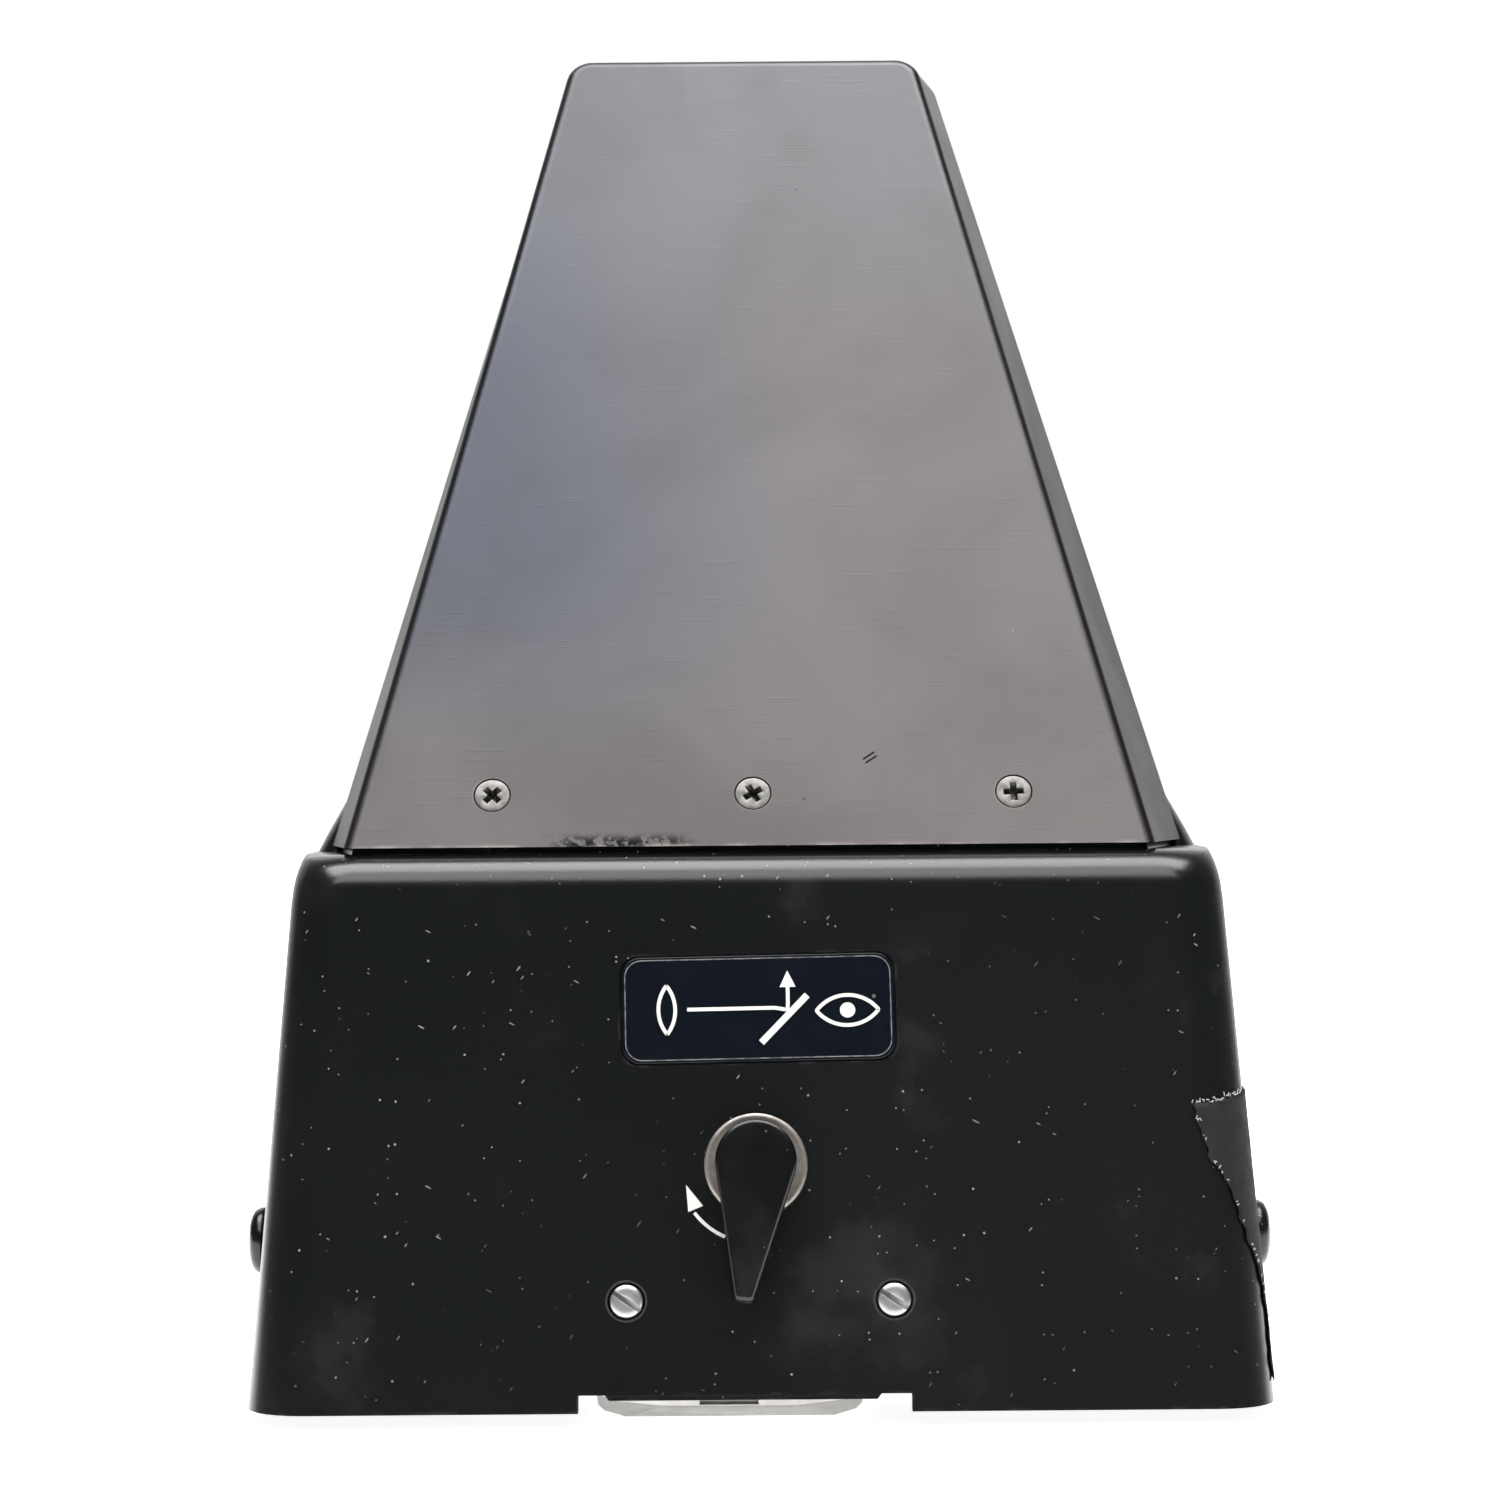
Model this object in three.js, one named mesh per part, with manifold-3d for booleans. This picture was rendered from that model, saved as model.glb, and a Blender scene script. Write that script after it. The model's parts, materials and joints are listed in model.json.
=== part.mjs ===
// A reflex viewing hood for a sheet-film camera: a tapered housing with a mirror under a screwed cover,
// a focusing eyepiece at the back and a lever-released latch at the base. Millimetres, +Z up.
// The hood stands on its light-trap rib, the lever side faces -Y and the eyepiece looks out to +Y.
import * as THREE from 'three';
import { mergeVertices } from 'three/addons/utils/BufferGeometryUtils.js';
import Module from 'manifold-3d';

const wasm = await Module();
wasm.setup();

const { degToRad } = THREE.MathUtils;

// ---------------------------------------------------------------- driving dimensions
const GAP = 0.3;                                // clearance between neighbouring pieces
const WALL = 2.6;                               // moulded wall

const RIM = 2.2;                                // height of the skirt's lower rim
const BASE_HALF = 76.4;                         // half width of the skirt at its rim
const BASE_DEPTH = 142;
const SIDE_DRAFT = 0.0702;                      // inward run of the side walls for each mm of height
const FRONT_LEAN = degToRad(12);
const CORNER_RADIUS = 9;
const FRONT_FLAT_TOP = 79;                      // where the front face starts to round over
const SHOULDER = 84;                            // height of the shoulder under the cover
const SHOULDER_RADIUS = (SHOULDER - FRONT_FLAT_TOP) / (1 - Math.sin(FRONT_LEAN));
const HIP_START = 76.5;                         // the side walls roll inwards from here
const HIP_RADIUS = 24;
const HIP_SLOPE = degToRad(29);
const KINK = 95;                                // above this height the sides run straight
const SPLIT = 99;                               // parting line between lower housing and hood
const SIDE_ROUND = 6;                           // run of the rounding from the flange to the side wall
const HOOD_TAPER = 0.272;
const HOOD_RAW_TOP = 236;

const COVER_LEAN = degToRad(28);
const COVER_Y = 21;                             // outer face of the cover at its cut edge
const COVER_Z = 85;
const COVER_LENGTH = 149.3;
const COVER_SHEET = 1.0;
const COVER_FOLD = 2.2;                         // outer bend radius of the folded sheet
const COVER_CORNER = 4.5;
const FOLD_HALF = 62.2;                         // fold line half width at the cut edge
const FOLD_TAPER = 0.2214;
const FOLD_SHIFT = -1.1;                        // the folds sit a little to the left
const FLANGE_HALF = 69.2;                       // flange edge half width, same height
const FLANGE_TAPER = 0.2555;
const FLANGE_DEPTH = 20;
const FLANGE_DEPTH_TAPER = 0.077;
const COVER_SCREW_X = [-40.4, -0.5, 39.4];
const COVER_SCREW_UP = 8.95;
const COVER_SCREW_HEAD = 2.7;

const PIVOT_X = -0.5;
const PIVOT_UP = 36.3;                          // along the front face, from the rim
const LEVER_LENGTH = 20.6;
const LEVER_HUB = 6;
const LEVER_TIP = 1.5;
const LEVER_REST = degToRad(-5.3);
const BUSH_RADIUS = 7.7;
const GUIDE_SCREW_X = 19.8;
const GUIDE_SCREW_UP = 16.4;
const PLATE_SIZE = new THREE.Vector2(40.8, 16);
const PLATE_UP = 59.9;
const PLATE_TILT = degToRad(0.85);

const NOTCH = { left: -26.9, right: 22.2, top: 4.8 };
const LATCH = { left: -24.4, right: 15.1, bottom: 0.2, top: 7, front: 6.4, back: 20 };
const LIP = { left: -23.6, right: 18.3, bottom: 3.5, slant: 1.1 };
const LATCH_TRAVEL = 3;
const SLIDE = { left: -7, right: 6, front: 17, back: 20, top: 45 };
const GUIDE = { half: 26, bottom: 10.6, top: 27, back: 23.4 };
const CAM_SWING = degToRad(40);                 // the cam's pin turns this far to each side of level
const CAM_THROW = LATCH_TRAVEL / (2 * Math.sin(CAM_SWING));
const SPRING_X = [-13.5, 11.5];
const SPRING_Y = 12.5;
const SPRING = { radius: 2.2, wire: 0.8, bottom: 7.3, top: 19, turns: 5 };
const POCKET_TOP = 19.4;

const STUD_Y = 34;
const STUD_Z = 24;
const STUD_RADIUS = 5.2;
const STUD_HEIGHT = 3.8;

const FRAME = { half: 73, front: 24.5, back: 137.5, bottom: 4, thick: 3 };
const OPENING = { half: 58, front: 38, back: 125 };
const FRAME_SCREW = { x: 68.5, front: 36, back: 122 };
const LUG_X = 40;
const LUG_SCREW = 4;                            // its screw's distance from the frame's back edge

const EYE_Y = 118;                              // centre of the slanted rear face
const EYE_Z = 184.4;
const REAR_SHEET = 2.5;
const REAR_RIM = 4;
const HOOD_END = 146;                           // the hood's top face, along the cover
const FLANGE_END = FLANGE_DEPTH - FLANGE_DEPTH_TAPER * COVER_LENGTH + GAP;

const BLACK = { color: 0x1f2021, roughness: 0.42, metalness: 0 };
const COVER_GREY = { color: 0x85858a, roughness: 0.38, metalness: 0.7 };
const STEEL = { color: 0xb9b9bb, roughness: 0.3, metalness: 1 };
const BRASS = { color: 0x8d8270, roughness: 0.35, metalness: 1 };
const RUBBER = { color: 0x18181a, roughness: 0.85, metalness: 0 };
const GLASS = { color: 0xcfd8da, roughness: 0.05, metalness: 0 };
const MIRROR = { color: 0xdde0e2, roughness: 0.04, metalness: 1 };
const FELT = { color: 0x141416, roughness: 1, metalness: 0 };
const NAVY = { color: 0x14182a, roughness: 0.4, metalness: 0 };

// ---------------------------------------------------------------- frames of reference
// Local x runs across, local y up the face and local z out of it.
function faceFrame(y, z, turn) {
  const frame = new THREE.Group();
  frame.position.set(0, y, z);
  frame.rotation.x = turn;
  frame.updateMatrixWorld();
  return frame;
}
const frontFace = faceFrame(0, RIM, Math.PI / 2 - FRONT_LEAN);
const coverFace = faceFrame(COVER_Y, COVER_Z, Math.PI / 2 - COVER_LEAN);
const eyeFace = faceFrame(EYE_Y, EYE_Z, -2 * COVER_LEAN);
const upright = new THREE.Group();
const hood = new THREE.Group();
hood.add(upright, frontFace, coverFace, eyeFace);

function add(frame, name, geometry, look) {
  const mesh = new THREE.Mesh(geometry, new THREE.MeshStandardMaterial(look));
  mesh.name = name;
  frame.add(mesh);
  return mesh;
}

// ---------------------------------------------------------------- solids and booleans
// Merges shared vertices and drops the slivers that merging leaves, as on the axis of a lathe.
function welded(geometry) {
  const bare = geometry.clone();
  bare.deleteAttribute('normal');
  bare.deleteAttribute('uv');
  const merged = mergeVertices(bare, 1e-4);
  const kept = [];
  const { array } = merged.index;
  for (let i = 0; i < array.length; i += 3) {
    const [a, b, c] = [array[i], array[i + 1], array[i + 2]];
    if (a !== b && b !== c && c !== a) kept.push(a, b, c);
  }
  merged.setIndex(kept);
  return merged;
}

function solid(geometry, frame = upright) {
  const body = welded(geometry.clone().applyMatrix4(frame.matrixWorld));
  return new wasm.Manifold(new wasm.Mesh({
    numProp: 3,
    vertProperties: new Float32Array(body.attributes.position.array),
    triVerts: new Uint32Array(body.index.array),
  }));
}

function skin(manifold) {
  const mesh = manifold.getMesh();
  const geometry = new THREE.BufferGeometry();
  geometry.setAttribute('position', new THREE.BufferAttribute(mesh.vertProperties, 3));
  geometry.setIndex(new THREE.BufferAttribute(mesh.triVerts, 1));
  const faceted = geometry.toNonIndexed();
  faceted.computeVertexNormals();
  return faceted;
}

function cut(body, ...tools) {
  return tools.reduce((rest, tool) => rest.subtract(tool), body);
}

function box(x0, x1, y0, y1, z0, z1) {
  const shape = new THREE.BoxGeometry(x1 - x0, y1 - y0, z1 - z0);
  return shape.translate((x0 + x1) / 2, (y0 + y1) / 2, (z0 + z1) / 2);
}

// A cylinder or cone along +Z from z0 to z1.
function rod(x, y, z0, z1, radius, sides = 24, endRadius = radius) {
  const shape = new THREE.CylinderGeometry(endRadius, radius, z1 - z0, sides);
  return shape.rotateX(Math.PI / 2).translate(x, y, (z0 + z1) / 2);
}

// A body turned about +Z from a closed list of [radius, height] corners.
function turned(profile, sides = 32) {
  const points = profile.map(([r, h]) => new THREE.Vector2(r, h));
  if (profile[0][0] > 0) points.push(points[0].clone());
  return new THREE.LatheGeometry(points, sides).rotateX(Math.PI / 2);
}

function prism(shape, depth, curveSegments = 8) {
  return new THREE.ExtrudeGeometry(shape, { depth, bevelEnabled: false, curveSegments });
}

function roundedRectangle(x0, x1, y0, y1, radius) {
  const shape = new THREE.Shape();
  shape.absarc(x1 - radius, y1 - radius, radius, 0, Math.PI / 2);
  shape.absarc(x0 + radius, y1 - radius, radius, Math.PI / 2, Math.PI);
  shape.absarc(x0 + radius, y0 + radius, radius, Math.PI, 1.5 * Math.PI);
  shape.absarc(x1 - radius, y0 + radius, radius, 1.5 * Math.PI, 2 * Math.PI);
  shape.closePath();
  return shape;
}

// ---------------------------------------------------------------- lofts
// Skins rings of equal length. Joined rings close on themselves, others are capped at both ends.
function loft(rings, joined = false) {
  const count = rings[0].length;
  const index = [];
  const bands = joined ? rings.length : rings.length - 1;
  for (let band = 0; band < bands; band += 1) {
    const low = band * count;
    const high = ((band + 1) % rings.length) * count;
    for (let i = 0; i < count; i += 1) {
      const next = (i + 1) % count;
      index.push(low + i, low + next, high + next, low + i, high + next, high + i);
    }
  }
  if (!joined) {
    const last = (rings.length - 1) * count;
    for (const [a, b, c] of THREE.ShapeUtils.triangulateShape(rings[0], [])) index.push(a, c, b);
    for (const [a, b, c] of THREE.ShapeUtils.triangulateShape(rings.at(-1), [])) {
      index.push(last + a, last + b, last + c);
    }
  }
  const geometry = new THREE.BufferGeometry();
  const places = rings.flat().flatMap((point) => point.toArray());
  geometry.setAttribute('position', new THREE.Float32BufferAttribute(places, 3));
  geometry.setIndex(index);
  return geometry;
}

// A ring at height z through corners [x, y, radius, points], anticlockwise from above.
function ringThrough(corners, z) {
  const ring = [];
  corners.forEach(([x, y, radius, points], i) => {
    const corner = new THREE.Vector2(x, y);
    const before = new THREE.Vector2(...corners.at(i - 1)).sub(corner).normalize();
    const after = new THREE.Vector2(...corners[(i + 1) % corners.length]).sub(corner).normalize();
    const half = Math.acos(THREE.MathUtils.clamp(before.dot(after), -1, 1)) / 2;
    if (points === 1 || Math.PI / 2 - half < 1e-3) {
      ring.push(new THREE.Vector3(x, y, z));
      return;
    }
    const middle = before.clone().add(after).normalize();
    const centre = corner.clone().addScaledVector(middle, radius / Math.sin(half));
    const start = corner.clone().addScaledVector(before, radius / Math.tan(half)).sub(centre);
    const sweep = Math.PI - 2 * half;
    for (let step = 0; step < points; step += 1) {
      const arm = start.clone().rotateAround(new THREE.Vector2(), (sweep * step) / (points - 1));
      ring.push(new THREE.Vector3(centre.x + arm.x, centre.y + arm.y, z));
    }
  });
  return ring;
}

// ---------------------------------------------------------------- the housing's outline by height
const coverCos = Math.cos(COVER_LEAN);
const coverSin = Math.sin(COVER_LEAN);

function frontSkirtY(z) {
  if (z <= FRONT_FLAT_TOP) return (z - RIM) * Math.tan(FRONT_LEAN);
  const centreY = (FRONT_FLAT_TOP - RIM) * Math.tan(FRONT_LEAN) + SHOULDER_RADIUS * Math.cos(FRONT_LEAN);
  const rise = z - (SHOULDER - SHOULDER_RADIUS);
  return centreY - Math.sqrt(Math.max(0, SHOULDER_RADIUS ** 2 - rise ** 2));
}

function sideHalf(z) {
  const draft = Math.atan(SIDE_DRAFT);
  if (z <= HIP_START) return BASE_HALF - (z - RIM) * SIDE_DRAFT;
  const hipTop = HIP_START + HIP_RADIUS * (Math.sin(HIP_SLOPE) - Math.sin(draft));
  const start = sideHalf(HIP_START);
  const rolled = (angle) => start - HIP_RADIUS * (Math.cos(draft) - Math.cos(angle));
  if (z <= hipTop) return rolled(Math.asin(Math.sin(draft) + (z - HIP_START) / HIP_RADIUS));
  const slope = Math.tan(HIP_SLOPE);
  if (z <= KINK) return rolled(HIP_SLOPE) - (z - hipTop) * slope;
  return rolled(HIP_SLOPE) - (KINK - hipTop) * slope - (z - KINK) * HOOD_TAPER;
}

function rearY(z) {
  return BASE_DEPTH - 0.5 * (BASE_HALF - sideHalf(Math.min(z, KINK)));
}

// The surface under the cover: its front, and the edge of the cover's side flange.
function underCoverY(z) {
  return COVER_Y + (z - COVER_Z) * Math.tan(COVER_LEAN) + (COVER_SHEET + GAP) / coverCos;
}

function underFold(z) {
  return FOLD_HALF - (FOLD_TAPER * (z - COVER_Z)) / coverCos - COVER_SHEET - 3 * GAP;
}

function flangeEdge(z) {
  const along = (z - COVER_Z + FLANGE_DEPTH * coverSin) / (coverCos + FLANGE_DEPTH_TAPER * coverSin);
  const depth = FLANGE_DEPTH - FLANGE_DEPTH_TAPER * along;
  return {
    y: COVER_Y + along * coverSin + depth * coverCos,
    half: FLANGE_HALF - FLANGE_TAPER * along - COVER_SHEET - 2 * GAP,
  };
}

const ARC = 8;                                  // points on a main corner

// Points of a side's rounding, from one half width to another, starting at y. Side is 1 or -1.
function sideRound(side, from, to, y) {
  const points = [18, 36, 54, 72, 90].map((degrees) => {
    const angle = degToRad(degrees);
    const half = THREE.MathUtils.lerp(from, to, Math.sin(angle));
    return [side * half, y + SIDE_ROUND * (1 - Math.cos(angle)), 0, 1];
  });
  return side > 0 ? points : points.reverse();
}

// The plain skirt: rounded corners, with points on its straight sides where the hood's rounding starts.
function skirtRing(z, frontY, half, backY, radius) {
  const edge = flangeEdge(SHOULDER).y;
  const corners = [
    [half, frontY, radius, ARC], [half, edge, 0, 1], ...sideRound(1, half, half, edge + 1),
    [half, backY, radius, ARC], [-half, backY, radius, ARC],
    ...sideRound(-1, half, half, edge + 1), [-half, edge, 0, 1], [-half, frontY, radius, ARC],
  ];
  return ringThrough(corners, z);
}

// The hood under the cover: a slightly flared front part, a rounded step out, then the straight sides.
function hoodRing(z, inset) {
  const frontY = underCoverY(z) + inset / coverCos;
  const fold = underFold(z) - inset;
  const flange = flangeEdge(z);
  const flangeHalf = flange.half - inset;
  const half = sideHalf(z) - (inset > 0 ? inset + 0.8 : 0);
  const backY = rearY(z) - inset;
  const radius = CORNER_RADIUS - inset;
  const stepY = flange.y + GAP;
  const corners = [
    [fold + FOLD_SHIFT, frontY, 1.5, ARC], [flangeHalf, stepY, 0, 1], ...sideRound(1, flangeHalf, half, stepY),
    [half, backY, radius, ARC], [-half, backY, radius, ARC],
    ...sideRound(-1, flangeHalf, half, stepY), [-flangeHalf, stepY, 0, 1], [-fold + FOLD_SHIFT, frontY, 1.5, ARC],
  ];
  return ringThrough(corners, z);
}

// ---------------------------------------------------------------- lower housing
function outerSkirt(z) {
  return skirtRing(z, frontSkirtY(z), sideHalf(z), rearY(z), CORNER_RADIUS);
}

function innerSkirt(z) {
  const frontY = frontSkirtY(z) + WALL / Math.cos(FRONT_LEAN) + 0.4;
  return skirtRing(z, frontY, sideHalf(z) - WALL, rearY(z) - WALL, CORNER_RADIUS - WALL);
}

function crossSlot(size, depth, top) {
  const bar = solid(box(-size, size, -0.38, 0.38, top - depth, top + 1));
  return bar.add(solid(box(-0.38, 0.38, -size, size, top - depth, top + 1)));
}

function lowerHousing() {
  const rolls = [1, 2, 3, 4, 5].map((step) => {
    const angle = FRONT_LEAN + ((degToRad(85) - FRONT_LEAN) * step) / 5;
    return SHOULDER - SHOULDER_RADIUS * (1 - Math.sin(angle));
  });
  const ledge = SHOULDER - WALL;
  const outer = [RIM, HIP_START, FRONT_FLAT_TOP, ...rolls].map(outerSkirt);
  const under = [SHOULDER, 87, 91, KINK, SPLIT].map((z) => hoodRing(z, 0));
  const inner = [SPLIT, KINK, ledge].map((z) => hoodRing(z, WALL));
  const bowl = [ledge - 0.02, HIP_START, RIM].map(innerSkirt);
  let body = solid(loft([...outer, ...under, ...inner, ...bowl], true));
  for (const side of [-1, 1]) {
    for (const y of [FRAME_SCREW.front, FRAME_SCREW.back]) {
      const x = side * FRAME_SCREW.x;
      body = body.add(solid(rod(x, y, FRAME.bottom + FRAME.thick + GAP, 24, 5.1, 20)));
      body = cut(body, solid(rod(x, y, 0, 16, 1.8, 16)));
    }
    body = cut(body, solid(studHole(side)));
    body = cut(body, solid(rod(side * GUIDE_SCREW_X, GUIDE_SCREW_UP, -8, 5, 1.8, 20), frontFace));
    body = cut(body, solid(rod(side * GUIDE_SCREW_X, GUIDE_SCREW_UP, -1.4, 5, 2.8), frontFace));
  }
  body = cut(body, solid(box(NOTCH.left, NOTCH.right, -5, 9, RIM - 1, NOTCH.top)));
  body = cut(body, solid(rod(PIVOT_X, PIVOT_UP, -8, 5, 5.4, 32), frontFace));
  body = cut(body, solid(namePlateBlock(GAP, 0.7, 2), frontFace));
  for (const x of COVER_SCREW_X) {
    body = cut(body, solid(rod(x, COVER_SCREW_UP, -8, 3, 1.5, 16), coverFace));
  }
  return skin(body);
}

// ---------------------------------------------------------------- hood, rear cover
// Everything on the outer side of a plane at the given height along a face frame's y or z.
function beyond(frame, axis, from) {
  const size = 400;
  const block = new THREE.BoxGeometry(size, size, size);
  const shift = new THREE.Vector3();
  shift[axis] = from + size / 2;
  return solid(block.translate(shift.x, shift.y, shift.z), frame);
}

function hoodForm(inset, low) {
  return solid(loft([hoodRing(low, inset), hoodRing(HOOD_RAW_TOP, inset)]));
}

function mirrorOutline(low, high, inset) {
  const half = (v) => FOLD_HALF - FOLD_TAPER * v - inset;
  const shape = new THREE.Shape();
  shape.moveTo(-half(low) + FOLD_SHIFT, low);
  shape.lineTo(half(low) + FOLD_SHIFT, low);
  shape.lineTo(half(high) + FOLD_SHIFT, high);
  shape.lineTo(-half(high) + FOLD_SHIFT, high);
  shape.closePath();
  return shape;
}

// What rounds the hood's upper corners, square to the cover: tighter under its flange, wider behind.
function cornerTrim(deep, shallow, spread, splay) {
  const half = (v) => FLANGE_HALF - FLANGE_TAPER * v + spread + splay * (HOOD_END - v);
  const low = HOOD_END - 20;
  const radius = COVER_CORNER + spread;
  const corners = [
    [half(low), low, 0, 1], [half(HOOD_END), HOOD_END, radius, 7],
    [-half(HOOD_END), HOOD_END, radius, 7], [-half(low), low, 0, 1],
  ];
  const outline = new THREE.Shape(ringThrough(corners, 0).map(({ x, y }) => new THREE.Vector2(x, y)));
  const block = solid(box(-80, 80, low + 2, HOOD_END + 100, deep, shallow), coverFace);
  return block.subtract(solid(prism(outline, 110).translate(0, 0, -100), coverFace));
}

const REAR_SCREWS = [[-25, -22.5], [25, -22.5], [-36, 24], [36, 24]];

function upperHood() {
  const outer = cut(
    hoodForm(0, SPLIT + GAP),
    cornerTrim(-FLANGE_END, 6, -COVER_SHEET - GAP, 0),
    cornerTrim(-24, 0.1 - FLANGE_END, 0.5, 0.16),
    beyond(eyeFace, 'z', 0),
  );
  const inner = cut(
    hoodForm(WALL, SPLIT - 5),
    beyond(coverFace, 'y', HOOD_END - WALL),
    cornerTrim(-FLANGE_END - WALL, 6, -COVER_SHEET - GAP - WALL, 0),
    cornerTrim(-24 - WALL, 0.1 - FLANGE_END, 0.5 - WALL, 0.16),
    beyond(eyeFace, 'z', -REAR_RIM),
  );
  const window = solid(prism(mirrorOutline(20, 137, 10), 12).translate(0, 0, -9), coverFace);
  const opening = solid(prism(roundedRectangle(-19, 19, -19.5, 22, 6), 12, 4).translate(0, 0, -8), eyeFace);
  const holes = REAR_SCREWS.map(([x, y]) => solid(rod(x, y, -6, 2, 1.4, 12), eyeFace));
  return skin(cut(outer, inner, window, opening, ...holes));
}

function rearCover() {
  const slab = hoodForm(0, SPLIT + GAP)
    .subtract(beyond(coverFace, 'y', HOOD_END))
    .subtract(cornerTrim(-24, 0.1 - FLANGE_END, 0.5, 0.16))
    .subtract(beyond(eyeFace, 'z', GAP + REAR_SHEET))
    .intersect(beyond(eyeFace, 'z', GAP));
  const bore = solid(rod(0, 0, -5, 8, 15.6, 40), eyeFace);
  const holes = REAR_SCREWS.map(([x, y]) => solid(rod(x, y, -5, 8, 1.6, 12), eyeFace));
  const flange = EYE_SCREWS.map(([x, y]) => solid(rod(x, y, -5, 8, 1.1, 12), eyeFace));
  return skin(cut(slab, bore, ...holes, ...flange));
}

// ---------------------------------------------------------------- mirror cover, mirror
// One ring of the folded sheet: the outline pushed in by 'inset' and dropped by the flange's fraction.
function coverRing(low, inset, drop, flare) {
  const half = (v, taper, base) => base - taper * v;
  const depth = (v) => FLANGE_DEPTH - FLANGE_DEPTH_TAPER * v;
  const top = COVER_LENGTH - inset + flare * 1.2;
  const edge = (v, side) => {
    const fold = side * half(v, FOLD_TAPER, FOLD_HALF) + FOLD_SHIFT;
    const rim = side * half(v, FLANGE_TAPER, FLANGE_HALF);
    return THREE.MathUtils.lerp(fold, rim, flare) - side * inset;
  };
  const radius = Math.max(1, COVER_CORNER - inset);
  const corners = [
    [edge(low, 1), low, 0, 1], [edge(top, 1), top, radius, 9],
    [edge(top, -1), top, radius, 9], [edge(low, -1), low, 0, 1],
  ];
  const ring = ringThrough(corners, 0);
  ring.forEach((point) => {
    point.z = -drop - flare * (depth(point.y) - drop);
  });
  return ring;
}

function mirrorCover() {
  const low = -24;
  const bend = [0, 1, 2, 3, 4].map((step) => (degToRad(86) * step) / 4);
  const outer = bend.map((angle) => coverRing(
    low,
    COVER_FOLD * (1 - Math.sin(angle)),
    COVER_FOLD * (1 - Math.cos(angle)),
    0,
  ));
  outer.push(coverRing(low, 0, 0, 1));
  const tight = COVER_FOLD - COVER_SHEET;
  const inner = bend.map((angle) => coverRing(
    low,
    COVER_SHEET + tight * (1 - Math.sin(angle)),
    COVER_SHEET + tight * (1 - Math.cos(angle)),
    0,
  ));
  inner.push(coverRing(low, COVER_SHEET, 0, 1));
  const rings = [...inner, ...outer.reverse()];
  let sheet = solid(loft(rings), coverFace);
  sheet = cut(sheet, solid(box(-100, 100, -60, 140, -60, COVER_Z)));
  for (const x of COVER_SCREW_X) {
    sheet = cut(sheet, solid(rod(x, COVER_SCREW_UP, -3, 0.6, 1.5, 32, 3.15), coverFace));
  }
  return skin(sheet);
}

function coverScrew() {
  const r = COVER_SCREW_HEAD;
  const head = turned([[0, -8], [1.1, -7.4], [1.1, -1.5], [r, -0.2], [r - 0.08, -0.05], [0, -0.05]], 24);
  return skin(cut(solid(head), crossSlot(1.45, 0.9, -0.05)));
}

function mirrorClip() {
  const arm = solid(box(-5, 5, -3.2, 5.5, -9.2, -8.2));
  return skin(arm.add(solid(box(-5, 5, -3.2, -2, -9.2, -4.5))));
}

// ---------------------------------------------------------------- base frame
// An outline that stands off the image opening, at its sides and at its front and back.
function aroundOpening(aside, along, radius) {
  const { half, front, back } = OPENING;
  return roundedRectangle(-half - aside, half + aside, front - along, back + along, radius);
}

function baseFrame() {
  const plate = roundedRectangle(-FRAME.half, FRAME.half, FRAME.front, FRAME.back, 7);
  plate.holes.push(roundedRectangle(-OPENING.half, OPENING.half, OPENING.front, OPENING.back, 2));
  let body = solid(prism(plate, FRAME.thick, 5).translate(0, 0, FRAME.bottom));
  const rib = aroundOpening(6.5, 6, 6);
  rib.holes.push(aroundOpening(4.5, 4, 4));
  body = body.add(solid(prism(rib, FRAME.bottom + 1, 5)));
  for (const x of [-FRAME_SCREW.x, FRAME_SCREW.x]) {
    for (const y of [FRAME_SCREW.front, FRAME_SCREW.back]) {
      body = cut(body, solid(rod(x, y, 0, 9, 1.9, 16)));
    }
  }
  for (const x of [-LUG_X, LUG_X]) body = cut(body, solid(rod(x, FRAME.back - LUG_SCREW, 0, 9, 1.3, 12)));
  return skin(body);
}

function baseSeal() {
  const thick = 1.3;
  const shape = aroundOpening(3.6, 3.6, 3);
  shape.holes.push(aroundOpening(0.6, 0.6, 2));
  return prism(shape, thick, 4).translate(0, 0, FRAME.bottom - thick - GAP);
}

// A screw standing upright with its head underneath.
function frameScrew(x, y, low, head, length, radius) {
  const dome = [[0, 0], [head * 0.8, 0], [head, 0.5], [head, 1.5]];
  const shank = [[radius, 1.5], [radius, length], [0, length]];
  const body = solid(turned([...dome, ...shank], 14).translate(x, y, low));
  const slot = box(x - head - 1, x + head + 1, y - 0.4, y + 0.4, low - 1, low + 0.6);
  return skin(cut(body, solid(slot)));
}

function hookLug(x) {
  const foot = solid(box(x - 6, x + 6, FRAME.back - 6, FRAME.back, 2.3, FRAME.bottom - GAP));
  const toe = solid(box(x - 6, x + 6, FRAME.back - 2, FRAME.back + 1.3, 0.4, FRAME.bottom - GAP));
  return skin(cut(foot.add(toe), solid(rod(x, FRAME.back - LUG_SCREW, 0, 9, 1.3, 12))));
}

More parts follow.
